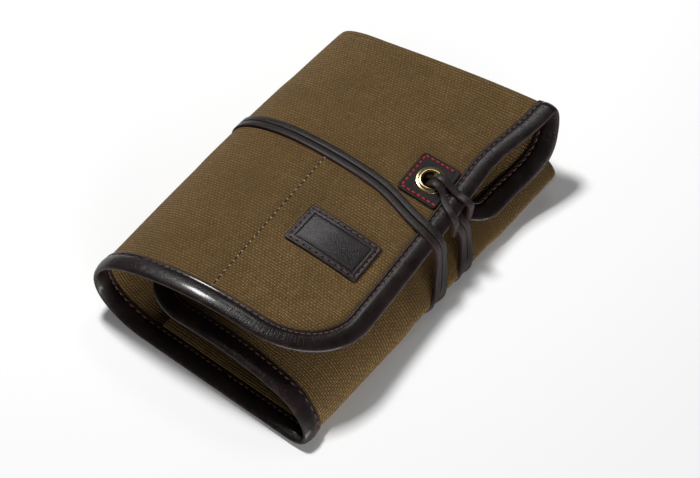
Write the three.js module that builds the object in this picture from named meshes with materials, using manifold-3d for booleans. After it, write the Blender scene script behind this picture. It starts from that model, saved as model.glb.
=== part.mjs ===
// A tool roll of waxed canvas: one cloth folded in three and tied with a doubled leather lace.
// Millimetres, +Z up. X runs across the folds, from the back fold to the front fold, and Y runs
// along them, from the open near end to the far end. The roll lies on Z = 0.
import * as THREE from 'three';
import Module from 'manifold-3d';
import { mergeVertices } from 'three/addons/utils/BufferGeometryUtils.js';

// The cloth: lengths along and across the folds
const clothLength = 249;
const baseLength = 257;
const flapRun = 130;
const backFoldRun = 84;
const baseRun = 116;
const frontFoldRun = 44;
const innerRun = 118;
const canvasThickness = 2.0;
const flapCornerRadius = 50;
const innerCornerRadius = 40;
const seamGap = 0.3;

// Where the panels start, and how far the folds bulge
const nearEndY = -129;
const baseRootX = -50;
const flapSetback = 10;
const innerSetback = 14;
const backFoldReach = 57;
const baseFoldReach = 41;
const frontFoldReach = 22.5;

// The flap lies a little askew: shifted along its fold, turned, and flared at its far front corner
const flapShift = 12;
const flapTurn = Math.tan(THREE.MathUtils.degToRad(4.6));
const flapPivot = 55;
const flareAt = 185;
const flareReach = 12;

// The base and the inner panel lie askew too: their near ends step back from the front fold
const baseTurn = Math.tan(THREE.MathUtils.degToRad(1.6));
const innerShift = 9;

// Heights of the panels' middle surfaces over the table. Each row runs across the panel from its
// fold, and the rows are the near end, the tie and the far end.
const tieAt = 150;
const flapAcross = [0, 40, 80];
const flapHeights = [
  [54, 61, 58.5, 45],
  [45.5, 49.5, 48, 42],
  [31, 39, 46, 52],
];
const innerAcross = [0, 24, 72];
const innerHeights = [
  [27, 34, 37, 32],
  [15, 20.5, 24, 20],
  [9.5, 13, 15, 12],
];

// The base is drawn up where the lace passes under it
const cinchStart = 96;
const cinchEnd = 200;
const cinchRamp = 16;
const cinchLift = 3.7;
const endLiftRun = 18;

// Leather binding
const leather = 1.2;
const bindingClearance = 0.4;
const bindingWidth = 12;
const rimReach = 2.0;

// Pocket panels sewn to the inner faces
const pocketThickness = 1.2;
const pocketClearance = 0.4;
const pocketMouth = 138;
const pocketInset = 4;

// Dust flap turned in at the far end
const dustDepth = 86;
const dustThickness = 1.6;
const dustTurn = 5;
const dustStart = 12;
const dustGapBack = 9;
const dustGapFront = 30;
const dustGapCurve = 1.6;
const dustDrop = 22;
const dustTuck = 0.25;
const dustLean = 0.6;
const dustLeanRun = 90;
const dustCorner = 16;
const plainDustGap = 4.2;
const frontDustInset = 26;
const plainDustTurn = 4;

// Label, eyelet patch and eyelet
const patchThickness = 1.5;
const patchClearance = 0.3;
const labelWidth = 53;
const labelHeight = 32;
const labelAt = [48.5, 84.8];
const patchRun = 30;
const patchHeight = 33;
const eyeletAt = [26, 160.5];
const eyeletOuter = 10;
const eyeletBore = 5.6;
const eyeletBarrel = 6.3;
const eyeletRoll = 1.5;
const eyeletFit = 0.3;
const washerOuter = 9;
const washerThickness = 0.9;

// The lace, doubled through the eyelet and wound round the roll
const laceWidth = 4.4;
const laceThickness = 2.4;
const laceChamfer = 0.5;
const laceSpread = 2.6;
const laceClearance = 0.4;
const laceStep = 9;
const bightSpread = 7.6;

const halfCanvas = canvasThickness / 2;
const channel = halfCanvas + bindingClearance;
const bindingHalf = channel + leather;
const baseStart = flapRun + backFoldRun;
const baseEnd = baseStart + baseRun;
const innerStart = baseEnd + frontFoldRun;
const clothRun = innerStart + innerRun;
const flapRootX = baseRootX - flapSetback;
const innerRootX = baseRootX + baseRun - innerSetback;
const alongKnots = [0, tieAt, clothLength];
const flapKnots = [...flapAcross, flapRun];
const innerKnots = [...innerAcross, innerRun];

const waxedCanvas = { color: 0x6a5536, roughness: 0.85, metalness: 0 };
const bridle = { color: 0x241c1d, roughness: 0.35, metalness: 0 };
const matteHide = { color: 0x2b2322, roughness: 0.6, metalness: 0 };
const brass = { color: 0xbfa04e, roughness: 0.3, metalness: 1 };
const laceHide = { color: 0x3c3031, roughness: 0.55, metalness: 0 };

function smooth(share) {
  const held = THREE.MathUtils.clamp(share, 0, 1);
  return held * held * (3 - 2 * held);
}

function lagrange(knots, values, at) {
  return knots.reduce((sum, knot, i) => {
    const others = knots.filter((_, j) => j !== i);
    return sum + others.reduce((term, other) => term * (at - other) / (knot - other), values[i]);
  }, 0);
}

function formedHeight(acrossKnots, heights, across, along) {
  const rows = heights.map((row) => lagrange(acrossKnots, row, across));
  return lagrange(alongKnots, rows, along);
}

// Panels and folds. Each takes a distance across its own run and a distance along the cloth.
function flapPoint(across, along) {
  const share = across / flapRun;
  const flare = flareReach * smooth((along - flareAt) / (clothLength - flareAt));
  const x = flapRootX + across + share * (flare - flapTurn * (along - flapPivot));
  const y = nearEndY + along + flapShift + flapTurn * across;
  return new THREE.Vector3(x, y, formedHeight(flapKnots, flapHeights, across, along));
}

function baseHeight(along) {
  const endLift = (bindingHalf - halfCanvas) * (1 - smooth((along - bindingWidth) / endLiftRun));
  const rising = smooth((along - cinchStart) / cinchRamp);
  const falling = smooth((cinchEnd - along) / cinchRamp);
  return halfCanvas + endLift + cinchLift * rising * falling;
}

function basePoint(across, along) {
  const y = nearEndY + along + baseTurn * (baseRun - across);
  return new THREE.Vector3(baseRootX + across, y, baseHeight(along));
}

function innerPoint(across, along) {
  const height = formedHeight(innerKnots, innerHeights, across, along);
  return new THREE.Vector3(innerRootX - across, nearEndY + along + innerShift, height);
}

function leaving(panel, edge, step, along) {
  return panel(edge + step, along).sub(panel(edge, along)).normalize();
}

function bezier(start, startPull, endPull, end, share) {
  return new THREE.CubicBezierCurve3(start, startPull, endPull, end).getPoint(share);
}

function backFoldPoint(share, along) {
  const top = flapPoint(0, along);
  const bottom = basePoint(0, along);
  const topPull = leaving(flapPoint, 0, -1, along).multiplyScalar(backFoldReach).add(top);
  const bottomPull = leaving(basePoint, 0, -1, along).multiplyScalar(baseFoldReach).add(bottom);
  return bezier(top, topPull, bottomPull, bottom, share);
}

function frontFoldPoint(share, along) {
  const bottom = basePoint(baseRun, along);
  const top = innerPoint(0, along);
  const bottomPull = leaving(basePoint, baseRun, 1, along).multiplyScalar(frontFoldReach).add(bottom);
  const topPull = leaving(innerPoint, 0, -1, along).multiplyScalar(frontFoldReach).add(top);
  return bezier(bottom, bottomPull, topPull, top, share);
}

// The whole cloth, from the flap's front edge round both folds to the inner panel's side edge
function clothPoint(run, along) {
  if (run <= flapRun) {
    return flapPoint(flapRun - run, along);
  }
  if (run <= baseStart) {
    return backFoldPoint((run - flapRun) / backFoldRun, along);
  }
  if (run <= baseEnd) {
    return basePoint(run - baseStart, along);
  }
  if (run <= innerStart) {
    return frontFoldPoint((run - baseEnd) / frontFoldRun, along);
  }
  return innerPoint(run - innerStart, along);
}

// How far along the cloth its far fold lies: the fold runs slightly askew, further out at the base
function farEnd(run) {
  const share = THREE.MathUtils.clamp((run - flapRun) / backFoldRun, 0, 1);
  return THREE.MathUtils.lerp(clothLength, baseLength, share);
}

// A surface's point and outward normal at one place
function frameOf(surface) {
  const reach = 0.05;
  return (a, b) => {
    const alongA = surface(a + reach, b).sub(surface(a - reach, b));
    const alongB = surface(a, b + reach).sub(surface(a, b - reach));
    return { point: surface(a, b), normal: alongB.cross(alongA).normalize() };
  };
}

const clothFrame = frameOf(clothPoint);

function lifted(frame, lift) {
  return frame.point.clone().addScaledVector(frame.normal, lift);
}

// The dust flap follows the cloth's far end: it turns under and hangs at a depth from the inner face
function flapDustDepth(run, back) {
  const frontShare = Math.pow(Math.max(0, 1 - run / flapRun), dustGapCurve);
  const full = dustGapBack + (dustGapFront - dustGapBack) * frontShare;
  const tuck = 1 - dustTuck * Math.pow(back / dustDepth, 2);
  return full * (1 - Math.exp(-back / dustDrop)) * tuck;
}

function turnedUnder(run, back, depth) {
  return lifted(clothFrame(run, farEnd(run) - back), -depth);
}

// The dust flap's side leans out past the flap's front edge, by a share of its depth
function leanedUnder(run, back, depth) {
  const lean = dustLean * smooth(1 - run / dustLeanRun) * depth;
  return turnedUnder(run, back, depth).add(new THREE.Vector3(lean, 0, 0));
}

function flapTurnPoint(run, share) {
  const slope = 0.5;
  const drop = flapDustDepth(run, dustStart);
  const before = flapDustDepth(run, dustStart - slope);
  const pull = (dustStart + dustTurn) / 2;
  const start = new THREE.Vector3(dustTurn, 0, 0);
  const startPull = new THREE.Vector3(-dustTurn, 0, 0);
  const leave = new THREE.Vector3(-slope, before - drop, 0).normalize().multiplyScalar(pull);
  const end = new THREE.Vector3(dustStart, drop, 0);
  const place = bezier(start, startPull, leave.add(end), end, share);
  return leanedUnder(run, place.x, place.y);
}

function flapDustPoint(run, back) {
  return leanedUnder(run, back, flapDustDepth(run, back));
}

function plainDustPoint(run, back) {
  if (back >= plainDustTurn) {
    return turnedUnder(run, back, plainDustGap);
  }
  const share = (plainDustTurn + back) / (2 * plainDustTurn);
  const start = new THREE.Vector3(plainDustTurn, 0, 0);
  const startPull = new THREE.Vector3(-plainDustTurn / 2, 0, 0);
  const endPull = new THREE.Vector3(-plainDustTurn / 2, plainDustGap, 0);
  const end = new THREE.Vector3(plainDustTurn, plainDustGap, 0);
  const place = bezier(start, startPull, endPull, end, share);
  return turnedUnder(run, place.x, place.y);
}

// Solids
function closedGeometry(points, triangles) {
  const volume = triangles.reduce((sum, [a, b, c]) => {
    const cross = new THREE.Vector3().crossVectors(points[b], points[c]);
    return sum + points[a].dot(cross);
  }, 0);
  const outward = volume > 0 ? triangles : triangles.map(([a, b, c]) => [a, c, b]);
  const geometry = new THREE.BufferGeometry().setFromPoints(points);
  geometry.setIndex(outward.flat());
  geometry.computeVertexNormals();
  return geometry;
}

// A sheet over columns of places, thickened along the normal from one lift to another
function sheetSolid(frameAt, columns, low, high) {
  const rows = columns[0].length;
  const frames = columns.flat().map(([a, b]) => frameAt(a, b));
  const points = [...frames.map((f) => lifted(f, high)), ...frames.map((f) => lifted(f, low))];
  const under = frames.length;
  const triangles = [];
  const quad = (a, b, c, d) => triangles.push([a, b, c], [a, c, d]);
  for (let i = 0; i < columns.length - 1; i += 1) {
    for (let j = 0; j < rows - 1; j += 1) {
      const at = i * rows + j;
      quad(at, at + 1, at + rows + 1, at + rows);
      quad(at + under, at + rows + under, at + rows + 1 + under, at + 1 + under);
    }
  }
  const wall = (a, b) => quad(b, a, a + under, b + under);
  const last = (columns.length - 1) * rows;
  for (let i = 0; i < columns.length - 1; i += 1) {
    wall((i + 1) * rows, i * rows);
    wall(i * rows + rows - 1, (i + 1) * rows + rows - 1);
  }
  for (let j = 0; j < rows - 1; j += 1) {
    wall(j, j + 1);
    wall(last + j + 1, last + j);
  }
  return closedGeometry(points, triangles);
}

// A closed section carried from loop to loop, with its flat shape given for the two end caps
function sweptSolid(loops, section) {
  const sides = section.length;
  const points = loops.flat();
  const triangles = [];
  for (let k = 0; k < loops.length - 1; k += 1) {
    for (let i = 0; i < sides; i += 1) {
      const a = k * sides + i;
      const b = k * sides + (i + 1) % sides;
      triangles.push([a, b, b + sides], [a, b + sides, a + sides]);
    }
  }
  const lastLoop = (loops.length - 1) * sides;
  THREE.ShapeUtils.triangulateShape(section, []).forEach(([a, b, c]) => {
    triangles.push([a, c, b], [a + lastLoop, b + lastLoop, c + lastLoop]);
  });
  return closedGeometry(points, triangles);
}

function spread(from, to, count) {
  return Array.from({ length: count + 1 }, (_, i) => from + (to - from) * i / count);
}

// Columns of places between two ends of the cloth
function straightColumns(runs, start, end, rows) {
  return runs.map((run) => spread(start, end, rows).map((along) => [run, along]));
}

// A panel with one rounded corner: the place on its outline for an angle round the corner
function cornerSteps(radius, count) {
  return spread(0, Math.PI / 2, count).map((angle) => ({
    inset: radius * (1 - Math.cos(angle)),
    along: radius * (1 - Math.sin(angle)),
    inward: [Math.cos(angle), Math.sin(angle)],
  }));
}

// Binding: a folded strip of leather that grips an edge and has a round rim
function bindingSection(half) {
  const inside = half + bindingClearance;
  const outside = inside + leather;
  const rim = bindingClearance + rimReach;
  return [
    [bindingWidth, inside], [bindingWidth, outside], [0, outside], [-rim * 0.72, outside * 0.72],
    [-rim, 0], [-rim * 0.72, -outside * 0.72], [0, -outside], [bindingWidth, -outside],
    [bindingWidth, -inside], [-bindingClearance, -inside], [-bindingClearance, inside],
  ].map(([inward, lift]) => new THREE.Vector2(inward, lift));
}

// Each stop on the edge gives its place and the way inward, both in the surface's own two directions
function bindingSolid(frameAt, stops, half) {
  const section = bindingSection(half);
  const loops = stops.map(({ place, inward }) => section.map(({ x, y }) => {
    const frame = frameAt(place[0] + inward[0] * x, place[1] + inward[1] * x);
    return lifted(frame, y);
  }));
  return sweptSolid(loops, section);
}

function nearEndStops(runs) {
  return runs.map((run) => ({ place: [run, 0], inward: [0, 1] }));
}

// Booleans
const wasm = await Module();
wasm.setup();

function toManifold(geometry) {
  const bare = geometry.clone();
  bare.deleteAttribute('normal');
  bare.deleteAttribute('uv');
  const merged = mergeVertices(bare);
  const vertProperties = new Float32Array(merged.attributes.position.array);
  const triVerts = new Uint32Array(merged.index.array);
  return new wasm.Manifold(new wasm.Mesh({ numProp: 3, vertProperties, triVerts }));
}

function cut(geometry, tool) {
  const mesh = toManifold(geometry).subtract(toManifold(tool)).getMesh();
  const result = new THREE.BufferGeometry();
  result.setAttribute('position', new THREE.BufferAttribute(new Float32Array(mesh.vertProperties), 3));
  result.setIndex(new THREE.BufferAttribute(new Uint32Array(mesh.triVerts), 1));
  result.computeVertexNormals();
  return result;
}

const roll = new THREE.Group();

function addPart(name, geometry, finish) {
  const part = new THREE.Mesh(geometry, new THREE.MeshStandardMaterial(finish));
  part.name = name;
  roll.add(part);
  return part;
}

// Columns shared by each panel's canvas and its bindings
const halfSeam = seamGap / 2;
const flapCorner = cornerSteps(flapCornerRadius, 8);
const flapRest = spread(flapCornerRadius, flapRun - halfSeam, 8).slice(1);
const backFoldRuns = spread(flapRun + halfSeam, baseStart - halfSeam, 14);
const baseRuns = spread(baseStart + halfSeam, baseEnd - halfSeam, 4);
const frontFoldRuns = spread(baseEnd + halfSeam, innerStart - halfSeam, 12);
const innerRest = spread(innerStart + halfSeam, clothRun - innerCornerRadius, 7).slice(0, -1);
const innerCorner = cornerSteps(innerCornerRadius, 7).reverse();
const flapFar = clothLength - dustTurn - halfSeam;
const plainFar = baseLength - plainDustTurn - halfSeam;

// Canvas panels
function flapColumns(rows) {
  const rounded = flapCorner.map(({ inset, along }) => [inset, along]);
  const straight = flapRest.map((run) => [run, 0]);
  return [...rounded, ...straight].map(([run, start]) => {
    return spread(start, flapFar, rows).map((along) => [run, along]);
  });
}

function innerColumns(rows) {
  const straight = innerRest.map((run) => [run, 0]);
  const rounded = innerCorner.map(({ inset, along }) => [clothRun - inset, along]);
  return [...straight, ...rounded].map(([run, start]) => {
    return spread(start, plainFar, rows).map((along) => [run, along]);
  });
}

const baseRows = [
  0, bindingWidth, bindingWidth + endLiftRun / 2, bindingWidth + endLiftRun, cinchStart,
  ...spread(cinchStart, cinchStart + cinchRamp, 4).slice(1),
  ...spread(cinchEnd - cinchRamp, cinchEnd, 4), plainFar,
];

const eyeletFrame = clothFrame(...eyeletAt);
const upward = new THREE.Vector3(0, 0, 1);
const eyeletTurn = new THREE.Quaternion().setFromUnitVectors(upward, eyeletFrame.normal);

// A round tool along the eyelet's axis
function eyeletHole() {
  const depth = 30;
  const hole = new THREE.CylinderGeometry(eyeletBarrel + eyeletFit, eyeletBarrel + eyeletFit, depth, 24);
  hole.rotateX(Math.PI / 2);
  hole.applyQuaternion(eyeletTurn);
  hole.translate(...eyeletFrame.point);
  return hole;
}

function canvasSheet(columns) {
  return sheetSolid(clothFrame, columns, -halfCanvas, halfCanvas);
}

function addCanvas(name, columns) {
  addPart(name, canvasSheet(columns), waxedCanvas);
}

const flapSheet = canvasSheet(flapColumns(12));
addPart('top_flap_canvas', cut(flapSheet, eyeletHole()), waxedCanvas);

const backFoldColumns = backFoldRuns.map((run) => {
  return [...baseRows.slice(0, -1), farEnd(run) - halfSeam].map((along) => [run, along]);
});
addCanvas('back_fold_canvas', backFoldColumns);

const baseColumns = baseRuns.map((run) => baseRows.map((along) => [run, along]));
addCanvas('base_canvas', baseColumns);

const frontFoldColumns = frontFoldRuns.map((run) => baseRows.map((along) => [run, along]));
addCanvas('front_fold_canvas', frontFoldColumns);

addCanvas('inner_panel_canvas', innerColumns(10));

// Bindings along the near end and the side edges
const flapSide = spread(flapCornerRadius, flapFar, 12).slice(1).reverse();
const flapEdge = [
  ...flapSide.map((along) => ({ place: [0, along], inward: [1, 0] })),
  ...flapCorner.map(({ inset, along, inward }) => ({ place: [inset, along], inward })),
  ...nearEndStops(flapRest),
];
addPart('top_flap_binding', bindingSolid(clothFrame, flapEdge, halfCanvas), bridle);
addPart('back_fold_binding', bindingSolid(clothFrame, nearEndStops(backFoldRuns), halfCanvas), bridle);
addPart('base_end_binding', bindingSolid(clothFrame, nearEndStops(baseRuns), halfCanvas), bridle);
addPart('front_fold_binding', bindingSolid(clothFrame, nearEndStops(frontFoldRuns), halfCanvas), bridle);

const innerSide = spread(innerCornerRadius, plainFar, 10).slice(1);
const innerEdge = [
  ...nearEndStops(innerRest),
  ...innerCorner.map(({ inset, along, inward }) => ({
    place: [clothRun - inset, along],
    inward: [-inward[0], inward[1]],
  })),
  ...innerSide.map((along) => ({ place: [clothRun, along], inward: [-1, 0] })),
];
addPart('inner_panel_binding', bindingSolid(clothFrame, innerEdge, halfCanvas), bridle);

// Pocket panels on the inner faces, clear of the bindings
const pocketHigh = -halfCanvas - pocketClearance;
const pocketLow = pocketHigh - pocketThickness;
const pocketStart = bindingWidth + seamGap;

function pocket(name, runs) {
  const columns = straightColumns(runs, pocketStart, pocketMouth, 8);
  addPart(name, sheetSolid(clothFrame, columns, pocketLow, pocketHigh), waxedCanvas);
}

pocket('top_flap_pocket', spread(flapCornerRadius, flapRun - pocketInset, 8));
const basePocketRows = baseRows.filter((along) => along > pocketStart && along < pocketMouth);
const basePocketColumns = spread(baseStart + pocketInset, baseEnd - pocketInset, 4).map((run) => {
  return [pocketStart, ...basePocketRows, pocketMouth].map((along) => [run, along]);
});
addPart('base_pocket', sheetSolid(clothFrame, basePocketColumns, pocketLow, pocketHigh), waxedCanvas);
pocket('inner_panel_pocket', spread(innerStart + pocketInset, clothRun - innerCornerRadius, 7));

// Dust flap: the far end of the cloth turned in, on each of the three panels
const halfDust = dustThickness / 2;
const flapTurnFrame = frameOf(flapTurnPoint);
const flapDustFrame = frameOf(flapDustPoint);
const plainDustFrame = frameOf(plainDustPoint);
const dustRuns = spread(0, flapRun - pocketInset, 10);
const turnShares = spread(0, 1, 9);
const turnColumns = dustRuns.map((run) => turnShares.map((share) => [run, share]));
addPart('far_fold_canvas', sheetSolid(flapTurnFrame, turnColumns, -halfDust, halfDust), waxedCanvas);

const turnEdge = turnShares.map((share) => ({ place: [0, share], inward: [1, 0] }));
addPart('far_fold_binding', bindingSolid(flapTurnFrame, turnEdge, halfDust), bridle);

const dustCornerSteps = cornerSteps(dustCorner, 6);
const dustBack = dustStart + seamGap;
const dustRest = spread(dustCorner, flapRun - pocketInset, 7).slice(1);
const dustOutline = [
  ...dustCornerSteps.map(({ inset, along }) => [inset, dustDepth - along]),
  ...dustRest.map((run) => [run, dustDepth]),
];
const dustColumns = dustOutline.map(([run, end]) => spread(dustBack, end, 8).map((back) => [run, back]));
addPart('dust_flap_canvas', sheetSolid(flapDustFrame, dustColumns, -halfDust, halfDust), waxedCanvas);

const dustSide = spread(dustBack, dustDepth - dustCorner, 6).slice(0, -1);
const dustEdge = [
  ...dustSide.map((back) => ({ place: [0, back], inward: [1, 0] })),
  ...dustCornerSteps.map(({ inset, along, inward }) => ({
    place: [inset, dustDepth - along],
    inward: [inward[0], -inward[1]],
  })),
  ...dustRest.map((run) => ({ place: [run, dustDepth], inward: [0, -1] })),
];
addPart('dust_flap_binding', bindingSolid(flapDustFrame, dustEdge, halfDust), bridle);

function plainDust(panel, runs) {
  const turn = spread(-plainDustTurn, plainDustTurn, 6);
  const flat = spread(plainDustTurn, dustDepth - bindingWidth, 8).slice(1);
  const backs = [...turn, ...flat, dustDepth];
  const columns = runs.map((run) => backs.map((back) => [run, back]));
  const edge = runs.map((run) => ({ place: [run, dustDepth], inward: [0, -1] }));
  addPart(`${panel}_dust_flap`, sheetSolid(plainDustFrame, columns, -halfDust, halfDust), waxedCanvas);
  addPart(`${panel}_dust_binding`, bindingSolid(plainDustFrame, edge, halfDust), bridle);
}

plainDust('base', spread(baseStart + pocketInset, baseEnd - frontDustInset, 4));
const innerDustEnd = clothRun - bindingWidth - seamGap;
plainDust('inner', spread(innerStart + frontDustInset, innerDustEnd, 8));

// Leather patches on the flap's outer face
const patchLow = halfCanvas + patchClearance;
const patchHigh = patchLow + patchThickness;

function patch(runs, middle, height, rows) {
  const columns = straightColumns(runs, middle - height / 2, middle + height / 2, rows);
  return sheetSolid(clothFrame, columns, patchLow, patchHigh);
}

const labelRuns = spread(labelAt[0] - labelWidth / 2, labelAt[0] + labelWidth / 2, 8);
addPart('label_patch', patch(labelRuns, labelAt[1], labelHeight, 5), matteHide);

const patchStart = bindingWidth + seamGap;
const patchRuns = spread(patchStart, patchStart + patchRun, 6);
const patchSolid = patch(patchRuns, eyeletAt[1], patchHeight, 6);
addPart('eyelet_patch', cut(patchSolid, eyeletHole()), matteHide);

// Eyelet: a barrel with a rolled flange on the patch, and a washer under the canvas
function turned(profile, lift) {
  const shape = new THREE.LatheGeometry(profile.map(([r, z]) => new THREE.Vector2(r, z)), 32);
  shape.rotateX(Math.PI / 2);
  shape.translate(0, 0, lift);
  shape.applyQuaternion(eyeletTurn);
  shape.translate(...eyeletFrame.point);
  return closedLathe(shape);
}

function closedLathe(shape) {
  const bare = shape.clone();
  bare.deleteAttribute('normal');
  bare.deleteAttribute('uv');
  const merged = mergeVertices(bare, 0.001);
  const position = merged.attributes.position;
  const points = Array.from({ length: position.count }, (_, i) => {
    return new THREE.Vector3().fromBufferAttribute(position, i);
  });
  const index = merged.index.array;
  const triangles = Array.from({ length: index.length / 3 }, (_, i) => [...index.slice(3 * i, 3 * i + 3)]);
  return closedGeometry(points, triangles);
}

// The flange bears on the patch's highest point under it, and the washer on the canvas
const flangeSeat = patchHigh + eyeletFit;
const washerSeat = -halfCanvas - eyeletFit;
const barrelEnd = washerSeat - washerThickness - eyeletFit;
const eyeletProfile = [
  [eyeletBore, barrelEnd], [eyeletBore, flangeSeat + eyeletRoll * 0.6],
  [eyeletBore + eyeletRoll * 0.6, flangeSeat + eyeletRoll],
  [eyeletOuter - eyeletRoll, flangeSeat + eyeletRoll * 0.9], [eyeletOuter, flangeSeat + eyeletRoll * 0.3],
  [eyeletOuter, flangeSeat], [eyeletBarrel, flangeSeat], [eyeletBarrel, barrelEnd], [eyeletBore, barrelEnd],
];
addPart('eyelet_barrel', turned(eyeletProfile, 0), brass);

const washerBore = eyeletBarrel + eyeletFit;
const washerProfile = [
  [washerBore, washerSeat - washerThickness], [washerBore, washerSeat], [washerOuter, washerSeat],
  [washerOuter, washerSeat - washerThickness], [washerBore, washerSeat - washerThickness],
];
addPart('eyelet_washer', turned(washerProfile, 0), brass);

// The lace's route, for the middle of the doubled lace, from its bight to its tucked ends. Each stop
// has a distance across and along the cloth, a lift from its middle surface, the half distance
// between the two strands, and the way that the lace's flat face looks.
const laceLift = halfCanvas + laceClearance + laceThickness / 2;
const overBinding = bindingHalf + laceClearance + laceThickness / 2;
const front = new THREE.Vector3(1, 0, 0);
const rear = front.clone().negate();

function laceStop(run, along, lift, apart, face) {
  const frame = clothFrame(run, along);
  const faces = { out: frame.normal, in: frame.normal.clone().negate(), front, rear };
  return { at: lifted(frame, lift), face: faces[face], apart };
}

const hitchAlong = eyeletAt[1];
const holeRun = eyeletAt[0];
const underFlap = overBinding + 0.6;
const laceRoute = [
  [-5.6, hitchAlong - 10, -15.6, 0, 'rear'],
  [-5.6, hitchAlong - 10, -13.6, bightSpread * 0.75, 'rear'],
  [-6.0, hitchAlong - 10, -9, bightSpread, 'rear'],
  [-5.8, hitchAlong - 9, -2, bightSpread, 'rear'],
  [-2.6, hitchAlong - 7.5, 5.1, bightSpread * 0.95, 'in'],
  [6, hitchAlong - 5, overBinding + 0.8, bightSpread * 0.75, 'in'],
  [holeRun - 14.5, hitchAlong - 2, overBinding + 1.8, laceSpread * 1.4, 'in'],
  [holeRun - 6, hitchAlong - 0.5, 8.2, laceSpread, 'in'],
  [holeRun - 0.6, hitchAlong, 5, laceSpread, 'front'],
  [holeRun + 0.6, hitchAlong, 0, laceSpread, 'front'],
  [holeRun - 0.6, hitchAlong, -5, laceSpread, 'front'],
  [holeRun - 6, hitchAlong - 1, -8.2, laceSpread, 'out'],
  [holeRun - 14.5, hitchAlong - 3, -underFlap - 1, laceSpread, 'out'],
  [6, hitchAlong - 7, -underFlap, laceSpread, 'out'],
  [-3.5, hitchAlong - 9.5, -underFlap - 1.4, laceSpread, 'out'],
  [-9.5, hitchAlong - 10, -12, laceSpread, 'front'],
  [-11, hitchAlong - 10, -22, laceSpread, 'front'],
  [baseEnd + frontFoldRun * 0.5, 162.5, laceLift + 0.8, laceSpread, 'out'],
  [baseEnd + frontFoldRun * 0.4, 160.5, laceLift + 0.5, laceSpread, 'out'],
  [baseEnd + frontFoldRun * 0.3, 158, laceLift + 0.5, laceSpread, 'out'],
  [baseEnd + frontFoldRun * 0.2, 155.5, laceLift + 0.3, laceSpread, 'out'],
  [baseEnd + frontFoldRun * 0.08, 152.5, laceLift, laceSpread, 'out'],
  [baseEnd - baseRun * 0.14, 150, laceLift, laceSpread, 'out'],
  [baseEnd - baseRun * 0.52, 147, laceLift, laceSpread, 'out'],
  [baseStart + baseRun * 0.14, 145.5, laceLift, laceSpread, 'out'],
  [baseStart - backFoldRun * 0.05, 144.5, laceLift, laceSpread, 'out'],
  [baseStart - backFoldRun * 0.21, 143.4, laceLift, laceSpread, 'out'],
  [baseStart - backFoldRun * 0.36, 143, laceLift, laceSpread, 'out'],
  [baseStart - backFoldRun * 0.5, 143, laceLift, laceSpread, 'out'],
  [baseStart - backFoldRun * 0.64, 143, laceLift, laceSpread, 'out'],
  [baseStart - backFoldRun * 0.81, 143.5, laceLift, laceSpread, 'out'],
  [flapRun * 0.985, 143.8, laceLift, laceSpread, 'out'],
  [flapRun * 0.8, 142.8, laceLift, laceSpread, 'out'],
  [flapRun * 0.57, 141.2, laceLift, laceSpread, 'out'],
  [flapRun * 0.354, 138.6, laceLift, laceSpread, 'out'],
  [flapRun * 0.2, 132.5, laceLift + 0.4, laceSpread, 'out'],
  [16, 129.5, overBinding, laceSpread, 'out'],
  [4, 127.4, overBinding, laceSpread, 'out'],
  [-2.6, 126.4, overBinding - 0.2, laceSpread, 'out'],
  [-6.4, 126, -3, laceSpread, 'front'],
  [-8.4, 125.5, -14, laceSpread, 'front'],
  [baseEnd + frontFoldRun * 0.5, 135, laceLift + 0.8, laceSpread, 'out'],
  [baseEnd + frontFoldRun * 0.4, 132.5, laceLift + 0.5, laceSpread, 'out'],
  [baseEnd + frontFoldRun * 0.3, 129.5, laceLift + 0.5, laceSpread, 'out'],
  [baseEnd + frontFoldRun * 0.2, 126.5, laceLift + 0.3, laceSpread, 'out'],
  [baseEnd + frontFoldRun * 0.08, 122.5, laceLift, laceSpread, 'out'],
  [baseEnd - baseRun * 0.14, 119.5, laceLift, laceSpread, 'out'],
  [baseEnd - baseRun * 0.45, 116.5, laceLift, laceSpread, 'out'],
  [baseEnd - baseRun * 0.79, 117, laceLift, laceSpread, 'out'],
].map((stop) => laceStop(...stop));

// The route as close steps: places, faces and half distances on three curves with one parameter
function laceSteps(route) {
  const places = new THREE.CatmullRomCurve3(route.map(({ at }) => at));
  const faces = new THREE.CatmullRomCurve3(route.map(({ face }) => face), false, 'catmullrom');
  const aparts = route.map(({ apart }) => apart);
  const last = route.length - 1;
  const steps = [];
  for (let i = 0; i < last; i += 1) {
    const length = route[i].at.distanceTo(route[i + 1].at);
    const count = Math.max(2, Math.round(length / laceStep));
    for (let j = 0; j < count + (i === last - 1 ? 1 : 0); j += 1) {
      const share = (i + j / count) / last;
      steps.push({
        at: places.getPoint(share),
        face: faces.getPoint(share).normalize(),
        apart: THREE.MathUtils.lerp(aparts[i], aparts[i + 1], j / count),
        way: places.getTangent(share),
      });
    }
  }
  return steps;
}

function strand(steps, side) {
  return steps.map(({ at, face, apart, way }) => {
    const across = new THREE.Vector3().crossVectors(way, face).normalize();
    return { at: at.clone().addScaledVector(across, side * apart), face };
  });
}

const pairSteps = laceSteps(laceRoute);
const bight = { at: laceRoute[0].at, face: laceRoute[0].face };
const laceLine = [...strand(pairSteps.slice(1), 1).reverse(), bight, ...strand(pairSteps.slice(1), -1)];

const halfLace = laceWidth / 2;
const halfThick = laceThickness / 2;
const laceSection = [
  [halfLace, -halfThick + laceChamfer], [halfLace, halfThick - laceChamfer],
  [halfLace - laceChamfer, halfThick], [-halfLace + laceChamfer, halfThick],
  [-halfLace, halfThick - laceChamfer], [-halfLace, -halfThick + laceChamfer],
  [-halfLace + laceChamfer, -halfThick], [halfLace - laceChamfer, -halfThick],
].map(([across, lift]) => new THREE.Vector2(across, lift));

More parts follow.
